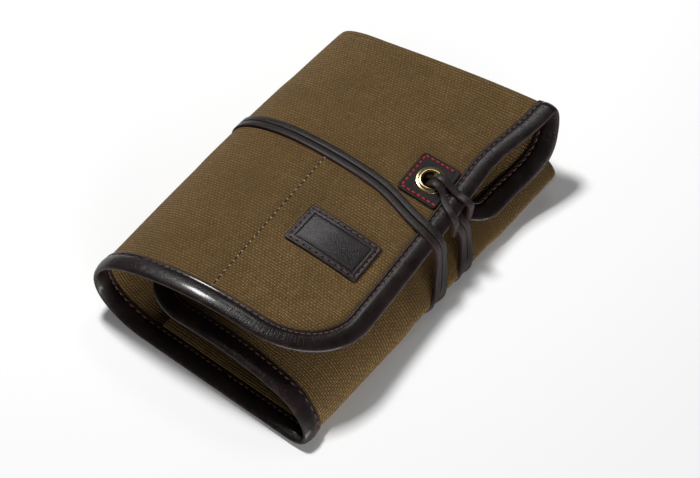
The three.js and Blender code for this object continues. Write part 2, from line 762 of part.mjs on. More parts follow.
const laceLoops = laceLine.map(({ at, face }, i) => {
  const before = laceLine[Math.max(0, i - 1)].at;
  const after = laceLine[Math.min(laceLine.length - 1, i + 1)].at;
  const way = new THREE.Vector3().subVectors(after, before).normalize();
  const across = new THREE.Vector3().crossVectors(way, face).normalize();
  const upright = new THREE.Vector3().crossVectors(across, way).normalize();
  return laceSection.map(({ x, y }) => at.clone().addScaledVector(across, x).addScaledVector(upright, y));
});
addPart('tie_lace', sweptSolid(laceLoops, laceSection), laceHide);

// The least gap between two stretches of lace that are not neighbours along it
function leastLaceGap() {
  const apartAlong = 14;
  const lengths = laceLine.map(({ at }, i) => (i ? at.distanceTo(laceLine[i - 1].at) : 0));
  const run = [];
  lengths.reduce((sum, length) => {
    run.push(sum + length);
    return sum + length;
  }, 0);
  let least = Infinity;
  laceLoops.forEach((loop, i) => {
    laceLoops.slice(i + 1).forEach((other, k) => {
      if (run[i + 1 + k] - run[i] < apartAlong || loop[0].distanceTo(other[0]) > apartAlong) {
        return;
      }
      loop.forEach((a) => other.forEach((b) => {
        least = Math.min(least, a.distanceTo(b));
      }));
    });
  });
  return { least, length: run[run.length - 1] };
}

// The origin is at the middle of the roll's footprint, on the table
const extent = new THREE.Box3().setFromObject(roll);
const centre = extent.getCenter(new THREE.Vector3());
roll.position.set(-centre.x, -centre.y, 0);

const lace = leastLaceGap();
console.log(`lace ${lace.length.toFixed(0)} mm long, least gap to itself ${lace.least.toFixed(2)} mm`);
const corners = [extent.min, extent.max].map((corner) => corner.toArray().map((n) => n.toFixed(2)));
console.log(`footprint ${corners.join(' to ')}`);

export default roll;
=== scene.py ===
"""Dresses the tool roll: waxed canvas, bound leather edges, stitching, a brass eyelet and a tied lace."""

import logging
import math
from dataclasses import dataclass, field
from enum import Enum
from functools import partial, reduce
from typing import Callable, Sequence

import bpy
import numpy as np
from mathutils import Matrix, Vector


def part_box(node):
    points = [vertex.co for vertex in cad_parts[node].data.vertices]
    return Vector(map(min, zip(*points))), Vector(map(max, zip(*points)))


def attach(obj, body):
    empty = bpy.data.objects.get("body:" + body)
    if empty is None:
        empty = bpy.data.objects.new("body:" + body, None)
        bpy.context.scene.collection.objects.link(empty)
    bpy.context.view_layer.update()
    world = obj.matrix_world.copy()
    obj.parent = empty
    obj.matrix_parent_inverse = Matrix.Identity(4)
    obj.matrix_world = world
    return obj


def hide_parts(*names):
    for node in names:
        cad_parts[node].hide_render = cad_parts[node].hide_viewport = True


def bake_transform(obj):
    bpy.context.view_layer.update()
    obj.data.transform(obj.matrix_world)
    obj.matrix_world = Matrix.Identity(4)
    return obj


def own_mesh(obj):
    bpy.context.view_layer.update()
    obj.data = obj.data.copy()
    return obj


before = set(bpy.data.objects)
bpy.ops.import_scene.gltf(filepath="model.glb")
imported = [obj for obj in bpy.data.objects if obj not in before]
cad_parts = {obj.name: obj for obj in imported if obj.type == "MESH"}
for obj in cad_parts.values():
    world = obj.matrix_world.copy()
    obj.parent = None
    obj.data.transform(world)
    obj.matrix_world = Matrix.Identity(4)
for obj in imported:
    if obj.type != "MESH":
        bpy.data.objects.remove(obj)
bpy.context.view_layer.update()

LOG = logging.getLogger("tool_roll")
MM = 0.001
TINY = 1e-12
Array = np.ndarray
Surface = Callable[[Array, Array], Array]
Pair = tuple[float, float]
Point = tuple[float, float, float]
Colour = tuple[float, float, float]
Material = bpy.types.Material
Object = bpy.types.Object
Socket = bpy.types.NodeSocket


class Body(Enum):
    """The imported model's bodies."""

    BASE = "base"
    FLAP = "top_flap"
    INNER = "inner_panel"
    DUST = "dust_flap"


class Slot(Enum):
    """The record's material slots."""

    CANVAS = "waxed_canvas"
    BINDING = "binding_leather"
    PATCH = "patch_leather"
    BRASS = "eyelet_brass"
    LACE = "lace_leather"


class Face(Enum):
    """The way that the lace's flat face looks at a stop of its route."""

    OUT = "out"
    IN = "in"
    FRONT = "front"
    REAR = "rear"


def smooth(share: Array) -> Array:
    """A step from 0 to 1 with level ends: three times the square less twice the cube of the share."""
    held = np.clip(share, 0.0, 1.0)
    return held * held * (3.0 - 2.0 * held)


def unit(vectors: Array) -> Array:
    """Vectors of length one, along the last axis."""
    return vectors / np.maximum(np.linalg.norm(vectors, axis=-1, keepdims=True), TINY)


def lagrange(knots: Sequence[float], values: Sequence[Array], at: Array) -> Array:
    """The polynomial through the knots: each value times its product of distances from the other knots.

    Args:
        knots: Places of the known values.
        values: The value, or array of values, at each knot.
        at: Where the polynomial is wanted.

    Returns:
        The polynomial's values.
    """
    total = np.zeros_like(np.asarray(at, float))
    for i, knot in enumerate(knots):
        term = values[i]
        for j, other in enumerate(knots):
            if j != i:
                term = term * (at - other) / (knot - other)
        total = total + term
    return total


def bezier(start: Array, start_pull: Array, end_pull: Array, end: Array, share: Array) -> Array:
    """Cubic curve: the four points weighted by the Bernstein polynomials of the share.

    Args:
        start: First points.
        start_pull: Second points, which set the first direction.
        end_pull: Third points, which set the last direction.
        end: Last points.
        share: Position on the curve, 0 to 1.

    Returns:
        Points on the curve.
    """
    t = np.asarray(share, float)[..., None]
    s = 1.0 - t
    return s**3 * start + 3 * s * s * t * start_pull + 3 * s * t * t * end_pull + t**3 * end


def spread(start: float, end: float, step: float) -> Array:
    """Evenly spaced values from start to end, about one step apart."""
    count = max(2, int(round(abs(end - start) / step)) + 1)
    return np.linspace(start, end, count)


def walked(points: Array) -> Array:
    """Distance from the first of a line's points to each of them, along the line."""
    steps = np.linalg.norm(np.diff(points, axis=0), axis=1)
    return np.concatenate([[0.0], np.cumsum(steps)])


def taken_at(rows: Array, length: Array, distance: Array) -> Array:
    """Rows at distances: each column is joined by straight lines over the rows' lengths."""
    return np.stack([np.interp(distance, length, column) for column in rows.T], axis=-1)


@dataclass(frozen=True)
class Hinge:
    """Where a fold leaves a panel: distance across it, step towards the fold and length of the pull."""

    panel: Surface
    edge: float
    step: float
    reach: float

    def leave(self, along: Array) -> tuple[Array, Array]:
        """The fold's points on the panel's edge, and points a pull away along the panel's own slope.

        Args:
            along: Distance along the cloth.

        Returns:
            Points and pulls.
        """
        edge = np.full_like(np.asarray(along, float), self.edge)
        start = self.panel(edge, along)
        return start, start + self.reach * unit(self.panel(edge + self.step, along) - start)


def fold(first: Hinge, second: Hinge, share: Array, along: Array) -> Array:
    """A fold between two panels: a cubic curve that leaves each along its own slope."""
    (start, start_pull), (end, end_pull) = first.leave(along), second.leave(along)
    return bezier(start, start_pull, end_pull, end, share)


@dataclass(frozen=True)
class RollShape:
    """The folded cloth's middle surface, in millimetres, before the shift to the row frame.

    Run goes across the cloth from the flap's front edge, over the back fold, the base and the front
    fold, to the inner panel's side edge. Along goes from the open near end to the far end.
    """

    cloth_length: float = 249.0
    base_length: float = 257.0
    flap_run: float = 130.0
    back_fold_run: float = 84.0
    base_run: float = 116.0
    front_fold_run: float = 44.0
    inner_run: float = 118.0
    canvas: float = 2.0
    dust_canvas: float = 1.6
    seam: float = 0.3
    pocket_inset: float = 4.0
    eyelet_at: Pair = (26.0, 160.5)
    flap_corner: float = 50.0
    inner_corner: float = 40.0
    near_end: float = -129.0
    base_root: float = -50.0
    flap_setback: float = 10.0
    inner_setback: float = 14.0
    back_reach: float = 57.0
    base_reach: float = 41.0
    front_reach: float = 22.5
    flap_shift: float = 12.0
    flap_turn: float = math.tan(math.radians(4.6))
    flap_pivot: float = 55.0
    flare_at: float = 185.0
    flare_reach: float = 12.0
    base_turn: float = math.tan(math.radians(1.6))
    inner_shift: float = 9.0
    tie_at: float = 150.0
    flap_across: tuple[float, ...] = (0.0, 40.0, 80.0, 130.0)
    flap_heights: tuple[tuple[float, ...], ...] = (
        (54.0, 61.0, 58.5, 45.0),
        (45.5, 49.5, 48.0, 42.0),
        (31.0, 39.0, 46.0, 52.0),
    )
    inner_across: tuple[float, ...] = (0.0, 24.0, 72.0, 118.0)
    inner_heights: tuple[tuple[float, ...], ...] = (
        (27.0, 34.0, 37.0, 32.0),
        (15.0, 20.5, 24.0, 20.0),
        (9.5, 13.0, 15.0, 12.0),
    )
    cinch_start: float = 96.0
    cinch_end: float = 200.0
    cinch_ramp: float = 16.0
    cinch_lift: float = 3.7
    end_lift: float = 1.6
    end_lift_run: float = 18.0
    binding_width: float = 12.0
    dust_depth: float = 86.0
    dust_turn: float = 5.0
    dust_start: float = 12.0
    dust_gap_back: float = 9.0
    dust_gap_front: float = 30.0
    dust_gap_curve: float = 1.6
    dust_drop: float = 22.0
    dust_tuck: float = 0.25
    dust_corner: float = 16.0
    dust_lean: float = 0.6
    dust_lean_run: float = 90.0
    plain_gap: float = 4.2
    plain_turn: float = 4.0
    front_dust_inset: float = 26.0
    hem_walk: float = 16.0
    hem_gap: float = 0.15
    hem_pull: float = 0.4
    hem_tail: float = 2.2

    @property
    def base_start(self) -> float:
        """Run where the base begins."""
        return self.flap_run + self.back_fold_run

    @property
    def base_end(self) -> float:
        """Run where the base ends."""
        return self.base_start + self.base_run

    @property
    def inner_start(self) -> float:
        """Run where the inner panel begins."""
        return self.base_end + self.front_fold_run

    @property
    def cloth_run(self) -> float:
        """Run of the inner panel's side edge."""
        return self.inner_start + self.inner_run

    @property
    def base_middle(self) -> float:
        """Run of the base's middle, where the two canvas pieces meet."""
        return self.base_start + self.base_run / 2

    @property
    def base_dust_reach(self) -> Pair:
        """Runs between which the dust flap lies over the base."""
        return self.base_start + self.pocket_inset, self.base_end - self.front_dust_inset

    @property
    def inner_dust_reach(self) -> Pair:
        """Runs between which the dust flap lies over the inner panel."""
        return self.inner_start + self.front_dust_inset, self.cloth_run - self.binding_width - self.seam

    def formed_height(self, knots: Sequence[float], heights: Sequence[Sequence[float]], across: Array,
                      along: Array) -> Array:
        """A panel's height: polynomials across its near end, tie and far end, joined by one along it."""
        rows = [lagrange(knots, row, across) for row in heights]
        return lagrange((0.0, self.tie_at, self.cloth_length), rows, along)

    def flap(self, across: Array, along: Array) -> Array:
        """The top flap: a formed sheet that lies askew, with its far front corner flared.

        Args:
            across: Distance from the back fold.
            along: Distance along the cloth.

        Returns:
            Points on the middle surface.
        """
        share = across / self.flap_run
        flare = self.flare_reach * smooth((along - self.flare_at) / (self.cloth_length - self.flare_at))
        root = self.base_root - self.flap_setback
        x = root + across + share * (flare - self.flap_turn * (along - self.flap_pivot))
        y = self.near_end + along + self.flap_shift + self.flap_turn * across
        z = self.formed_height(self.flap_across, self.flap_heights, across, along)
        return np.stack(np.broadcast_arrays(x, y, z), axis=-1)

    def base(self, across: Array, along: Array) -> Array:
        """The base: flat on the table, raised over its end binding and where the lace passes under it.

        Args:
            across: Distance from the back fold.
            along: Distance along the cloth.

        Returns:
            Points on the middle surface.
        """
        end = self.end_lift * (1 - smooth((along - self.binding_width) / self.end_lift_run))
        rising = smooth((along - self.cinch_start) / self.cinch_ramp)
        falling = smooth((self.cinch_end - along) / self.cinch_ramp)
        z = self.canvas / 2 + end + self.cinch_lift * rising * falling
        y = self.near_end + along + self.base_turn * (self.base_run - across)
        return np.stack(np.broadcast_arrays(self.base_root + across, y, z), axis=-1)

    def inner(self, across: Array, along: Array) -> Array:
        """The inner panel: a formed sheet that runs back from the front fold.

        Args:
            across: Distance from the front fold.
            along: Distance along the cloth.

        Returns:
            Points on the middle surface.
        """
        z = self.formed_height(self.inner_across, self.inner_heights, across, along)
        x = self.base_root + self.base_run - self.inner_setback - across
        return np.stack(np.broadcast_arrays(x, self.near_end + along + self.inner_shift, z), axis=-1)

    def cloth(self, run: Array, along: Array) -> Array:
        """The whole cloth, each stretch of run taken from its own panel or fold.

        Args:
            run: Distance across the cloth.
            along: Distance along the cloth.

        Returns:
            Points on the middle surface.
        """
        run, along = np.broadcast_arrays(np.asarray(run, float), np.asarray(along, float))
        back_share = np.clip((run - self.flap_run) / self.back_fold_run, 0, 1)
        front_share = np.clip((run - self.base_end) / self.front_fold_run, 0, 1)
        back = fold(Hinge(self.flap, 0.0, -1.0, self.back_reach),
                    Hinge(self.base, 0.0, -1.0, self.base_reach), back_share, along)
        front = fold(Hinge(self.base, self.base_run, 1.0, self.front_reach),
                     Hinge(self.inner, 0.0, -1.0, self.front_reach), front_share, along)
        ends = (self.flap_run, self.base_start, self.base_end, self.inner_start)
        masks = [(run <= end)[..., None] for end in ends]
        panels = [self.flap(self.flap_run - run, along), back, self.base(run - self.base_start, along), front]
        return np.select(masks, panels, self.inner(run - self.inner_start, along))

    def far_end(self, run: Array) -> Array:
        """How far along the far fold lies: further out at the base than at the flap."""
        share = np.clip((run - self.flap_run) / self.back_fold_run, 0, 1)
        return self.cloth_length + (self.base_length - self.cloth_length) * share

    def turned_under(self, run: Array, back: Array, depth: Array) -> Array:
        """Points inside the far end: a distance back from it and a depth below the cloth."""
        points, normals = self.frames(self.cloth, run, self.far_end(run) - back)
        return points - normals * np.asarray(depth)[..., None]

    def leaned_under(self, run: Array, back: Array, depth: Array) -> Array:
        """Points inside the far end that lean to the front as they go down, most at the flap's front edge."""
        lean = self.dust_lean * smooth(1 - run / self.dust_lean_run) * depth
        return self.turned_under(run, back, depth) + lean[..., None] * np.array([1.0, 0.0, 0.0])

    def dust_depth_at(self, run: Array, back: Array) -> Array:
        """Depth of the dust flap under the flap: most in front, eased from the fold and tucked at its edge.

        Args:
            run: Distance across the cloth.
            back: Distance back from the far end.

        Returns:
            Depths below the flap's middle surface.
        """
        front = np.power(np.maximum(0.0, 1 - run / self.flap_run), self.dust_gap_curve)
        full = self.dust_gap_back + (self.dust_gap_front - self.dust_gap_back) * front
        tuck = 1 - self.dust_tuck * (back / self.dust_depth) ** 2
        return full * (1 - np.exp(-back / self.dust_drop)) * tuck

    def dust_turned(self, run: Array, share: Array) -> Array:
        """The far fold: a curve that runs to the far end, turns and joins the dust flap's slope.

        Args:
            run: Distance across the cloth.
            share: Position round the fold, 0 to 1.

        Returns:
            Points on the fold's middle surface.
        """
        slope = 0.5
        drop = self.dust_depth_at(run, np.full_like(run, self.dust_start))
        before = self.dust_depth_at(run, np.full_like(run, self.dust_start - slope))
        pull = (self.dust_start + self.dust_turn) / 2
        end = np.stack([np.full_like(run, self.dust_start), drop], axis=-1)
        leave = end + pull * unit(np.stack([np.full_like(run, -slope), before - drop], axis=-1))
        place = bezier(np.array([self.dust_turn, 0.0]), np.array([-self.dust_turn, 0.0]), leave, end, share)
        return self.leaned_under(run, place[..., 0], place[..., 1])

    def dust(self, run: Array, back: Array) -> Array:
        """The dust flap and its far fold: back below dust_start goes round the fold, beyond it hangs.

        Args:
            run: Distance across the cloth.
            back: Distance back from the far end; from -dust_start it runs round the fold.

        Returns:
            Points on the middle surface.
        """
        run, back = np.broadcast_arrays(np.asarray(run, float), np.asarray(back, float))
        share = np.clip((back + self.dust_start) / (2 * self.dust_start), 0, 1)
        hanging = np.maximum(back, self.dust_start)
        flat = self.leaned_under(run, hanging, self.dust_depth_at(run, hanging))
        return np.where((back >= self.dust_start)[..., None], flat, self.dust_turned(run, share))

    def plain_dust(self, run: Array, back: Array) -> Array:
        """The dust flap over the base and inner panel: a turn at the far end, then a sheet at one depth.

        Args:
            run: Distance across the cloth.
            back: Distance back from the far end; from -plain_turn it runs round the turn.

        Returns:
            Points on the middle surface.
        """
        run, back = np.broadcast_arrays(np.asarray(run, float), np.asarray(back, float))
        turn = self.plain_turn
        share = np.clip((turn + back) / (2 * turn), 0, 1)
        place = bezier(np.array([turn, 0.0]), np.array([-turn / 2, 0.0]),
                       np.array([-turn / 2, self.plain_gap]), np.array([turn, self.plain_gap]), share)
        far = back >= turn
        depth = np.where(far, self.plain_gap, place[..., 1])
        return self.turned_under(run, np.where(far, back, place[..., 0]), depth)

    def hem(self, run: Array, walk: Array) -> Array:
        """The far end's hem: a cubic curve that makes half a turn of small radius at the far end.

        Args:
            run: Distance across the cloth.
            walk: Distance round the turn, from 0 to hem_walk.

        Returns:
            Points on the middle surface.
        """
        run, walk = np.broadcast_arrays(np.asarray(run, float), np.asarray(walk, float))
        turn = self.dust_turn
        depth = self.canvas + self.hem_gap
        pull = -turn * self.hem_pull
        place = bezier(np.array([turn, 0.0]), np.array([pull, 0.0]), np.array([pull, depth]),
                       np.array([self.hem_tail * turn, depth]), np.clip(walk / self.hem_walk, 0, 1))
        return self.turned_under(run, place[..., 0], place[..., 1])

    def frames(self, surface: Surface, a: Array, b: Array) -> tuple[Array, Array]:
        """Points and outward normals: the normal is the step along b crossed with the step along a.

        Args:
            surface: Surface of two parameters.
            a: First parameter.
            b: Second parameter.

        Returns:
            Points and unit normals.
        """
        reach = 0.05
        step_a = surface(a + reach, b) - surface(a - reach, b)
        step_b = surface(a, b + reach) - surface(a, b - reach)
        return surface(a, b), unit(np.cross(step_b, step_a))

    def lifted(self, surface: Surface, a: Array, b: Array, lift: Array) -> Array:
        """Points at a lift from a surface along its outward normal."""
        points, normals = self.frames(surface, a, b)
        return points + normals * np.asarray(lift, float)[..., None]


@dataclass(frozen=True)
class Placement:
    """The step from the roll's own millimetres to metres in the row frame."""

    shift: Pair

    @classmethod
    def from_frame(cls, shape: RollShape) -> "Placement":
        """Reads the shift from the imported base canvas, whose low corner is known in both frames.

        Args:
            shape: The roll's shape.

        Returns:
            The placement.
        """
        low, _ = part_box("base_canvas")
        half_seam = shape.seam / 2
        x = low.x / MM - (shape.base_root + half_seam)
        y = low.y / MM - (shape.near_end + shape.base_turn * half_seam)
        return cls((x, y))

    def place(self, points: Array) -> Array:
        """Points in metres in the row frame."""
        return (points + np.array([self.shift[0], self.shift[1], 0.0])) * MM


@dataclass(frozen=True)
class Bend:
    """A bend between two bodies that a piece spans: the bodies, and the points where the bend starts and
    ends. The piece does not bend; it is only baked in place.
    """

    first: Body
    second: Body
    start: Point
    end: Point


BACK_BEND = Bend(Body.BASE, Body.FLAP, (0.0, 0.0, 0.0134), (0.0, 0.00173, 0.03224))
FRONT_BEND = Bend(Body.BASE, Body.INNER, (0.0, 0.0, 0.0105), (0.0, 0.00032, 0.0150))
FAR_BEND = Bend(Body.FLAP, Body.DUST, (0.0119, 0.1314, 0.0435), (0.0132, 0.1314, 0.0351))


@dataclass(frozen=True)
class Cut:
    """A mesh as arrays: its points, its quads or polygons and the UV of each point."""

    points: Array
    faces: list[list[int]]
    uv: Array
    marks: dict[str, Array] = field(default_factory=dict)

    def to_object(self, name: str, sharp_deg: float) -> Object:
        """Puts the arrays into a smooth-shaded mesh whose object sits at the origin.

        Args:
            name: Piece name.
            sharp_deg: Edges with a steeper turn than this are shaded sharp.

        Returns:
            The new object, linked to the scene.
        """
        mesh = bpy.data.meshes.new(name)
        mesh.from_pydata(self.points.tolist(), [], self.faces)
        layer = mesh.uv_layers.new(name="surface")
        corner = np.zeros(len(mesh.loops), np.int32)
        mesh.loops.foreach_get("vertex_index", corner)
        layer.data.foreach_set("uv", self.uv[corner].astype(np.float32).ravel())
        for mark, values in self.marks.items():
            attribute = mesh.attributes.new(mark, "FLOAT", "POINT")
            attribute.data.foreach_set("value", np.asarray(values, np.float32).ravel())
        mesh.shade_smooth()
        mesh.set_sharp_from_angle(angle=math.radians(sharp_deg))
        mesh.validate()
        obj = bpy.data.objects.new(name, mesh)
        bpy.context.scene.collection.objects.link(obj)
        return obj


def ring_quads(near: Array, far: Array) -> Array:
    """Quads between closed loops of point numbers and the loops that come after them."""
    return np.stack([near, np.roll(near, -1, 1), np.roll(far, -1, 1), far], axis=-1).reshape(-1, 4)


def inside_out(points: Array, quads: Array) -> bool:
    """Whether quads look inward: their volume about the middle, a sum of triple products, is negative."""
    a, b, c, d = np.moveaxis(points[quads] - points.mean(axis=0), 1, 0)
    return float(np.sum(a * (np.cross(b, c) + np.cross(c, d)))) < 0


def shell(outer: Array, inner: Array, uv: Array, keep: Array | None = None,
          marks: dict[str, Array] | None = None) -> Cut:
    """A closed sheet from two grids: their quads, and a wall on every edge of the kept area.

    Args:
        outer: Grid of outer points, rows by columns by 3.
        inner: Grid of inner points.
        uv: Grid of UVs, shared by both faces.
        keep: Which quads are kept, or None for all.
        marks: Grids of values to store on the points.

    Returns:
        The sheet.
    """
    rows, columns = outer.shape[:2]
    index = np.arange(rows * columns).reshape(rows, columns)
    kept = np.ones((rows - 1, columns - 1), bool) if keep is None else keep
    a, b, c, d = index[:-1, :-1], index[:-1, 1:], index[1:, 1:], index[1:, :-1]
    top = np.stack([a, b, c, d], axis=-1)[kept]
    under = rows * columns
    below = top[:, ::-1] + under
    ring = np.pad(kept, 1)
    sides = [
        (kept & ~ring[:-2, 1:-1], b, a),
        (kept & ~ring[2:, 1:-1], d, c),
        (kept & ~ring[1:-1, :-2], a, d),
        (kept & ~ring[1:-1, 2:], c, b),
    ]
    walls = [np.stack([p[edge], q[edge], q[edge] + under, p[edge] + under], axis=-1) for edge, p, q in sides]
    faces = np.concatenate([top, below, *walls])
    points = np.concatenate([outer.reshape(-1, 3), inner.reshape(-1, 3)])
    both = np.concatenate([uv.reshape(-1, 2)] * 2)
    values = {name: np.concatenate([np.ravel(grid)] * 2) for name, grid in (marks or {}).items()}
    if inside_out(points, faces):
        faces = faces[:, ::-1]
    return Cut(points, faces.tolist(), both, values)


def tube(loops: Array, uv: Array, marks: dict[str, Array] | None = None) -> Cut:
    """A closed section carried along a path: quads between neighbouring loops and a cap on each end.

    Args:
        loops: Loops of section points, loops by sides by 3.
        uv: UV of each point.
        marks: Values to store on the points.

    Returns:
        The swept solid.
    """
    count, sides = loops.shape[:2]
    index = np.arange(count * sides).reshape(count, sides)
    quads = ring_quads(index[:-1], index[1:])
    points = loops.reshape(-1, 3)
    faces = quads.tolist() + [index[0][::-1].tolist(), index[-1].tolist()]
    if inside_out(points, quads):
        faces = [face[::-1] for face in faces]
    values = {name: np.ravel(grid) for name, grid in (marks or {}).items()}
    return Cut(points, faces, uv.reshape(-1, 2), values)


def piece(cut: Cut, name: str, material: Material, nodes: Sequence[str],
          carrier: Body | Bend, sharp_deg: float = 42.0) -> Object:
    """Makes a cut into a finished piece: object and material, the CAD nodes it stands for hidden, and its
    carrier.

    Args:
        cut: The mesh, in metres in the row frame.
        name: Piece name.
        material: Finish.
        nodes: CAD nodes that the piece stands for.
        carrier: Body that carries it, or a bend, for which its placement is only baked in.
        sharp_deg: Steepest smooth edge.

    Returns:
        The piece.
    """
    obj = cut.to_object(name, sharp_deg)
    obj.data.materials.append(material)
    if nodes:
        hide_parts(*nodes)
    if isinstance(carrier, Bend):
        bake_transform(obj)
    else:
        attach(obj, carrier.value)
    LOG.info("%s: %d points, %d faces", name, len(cut.points), len(cut.faces))
    return obj


class NodeTree:
    """Short ways to add and join shader nodes in one tree."""

    def __init__(self, tree: bpy.types.NodeTree) -> None:
        """Keeps the tree and empties it."""
        self.tree = tree
        self.tree.nodes.clear()

    def feed(self, node: bpy.types.Node, inputs: dict) -> None:
        """Sets or links several inputs of a node; a colour gets a full alpha.

        Args:
            node: The node.
            inputs: Socket name or number to a value or to another node's socket.
        """
        for key, value in inputs.items():
            socket = node.inputs[key]
            if isinstance(value, Socket):
                self.tree.links.new(value, socket)
            elif socket.type == "RGBA":
                socket.default_value = (*value, 1.0)
            else:
                socket.default_value = value

    def add(self, kind: str, inputs: dict | None = None, **settings: object) -> bpy.types.Node:
        """Adds a node.

        Args:
            kind: Node type name.
            inputs: Socket name or number to a value or to another node's socket.
            settings: Node attributes.

        Returns:
            The node.
        """
        node = self.tree.nodes.new(kind)
        for key, value in settings.items():
            setattr(node, key, value)
        self.feed(node, inputs or {})
        return node

    def math(self, operation: str, *values: object, clamp: bool = False) -> Socket:
        """A Math node's result."""
        node = self.add("ShaderNodeMath", dict(enumerate(values)), operation=operation, use_clamp=clamp)
        return node.outputs[0]

    def scaled(self, value: object, share: object) -> Socket:
        """A value times another."""
        return self.math("MULTIPLY", value, share)

    def total(self, *values: object) -> Socket:
        """Values added up from the first to the last."""
        return reduce(partial(self.math, "ADD"), values)

    def mix(self, share: object, first: object, second: object) -> Socket:
        """A colour between two others, which a colour mix takes at its inputs 6 and 7."""
        return self.add("ShaderNodeMix", {0: share, 6: first, 7: second}, data_type="RGBA").outputs[2]

    def ramp(self, value: object, low: float, high: float) -> Socket:
        """A value mapped smoothly from low and high to 0 and 1."""
        node = self.add("ShaderNodeMapRange", {0: value, 1: low, 2: high}, interpolation_type="SMOOTHSTEP")
        return node.outputs[0]

    def noise(self, vector: object, scale: float, detail: float = 3.0, rough: float = 0.55) -> Socket:
        """A noise value at a scale."""
        inputs = {"Vector": vector, "Scale": scale, "Detail": detail, "Roughness": rough}
        return self.add("ShaderNodeTexNoise", inputs).outputs[0]

    def stretched(self, vector: object, scale: Point, detail: float) -> Socket:
        """A noise value that is drawn out along the axes with the smaller scales."""
        drawn = self.add("ShaderNodeMapping", {"Vector": vector, "Scale": scale})
        return self.noise(drawn.outputs[0], 1.0, detail)

    def mark(self, name: str) -> Socket:
        """A value stored on the mesh's points."""
        return self.add("ShaderNodeAttribute", attribute_name=name).outputs["Fac"]

    def group(self, name: str, inputs: dict) -> bpy.types.Node:
        """A node that holds one of the shared groups."""
        return self.add("ShaderNodeGroup", inputs, node_tree=bpy.data.node_groups[name])

    def bump(self, height: Socket, depth: float, strength: float) -> Socket:
        """A normal that follows a height."""
        inputs = {"Strength": strength, "Distance": depth, "Height": height}
        return self.add("ShaderNodeBump", inputs).outputs[0]


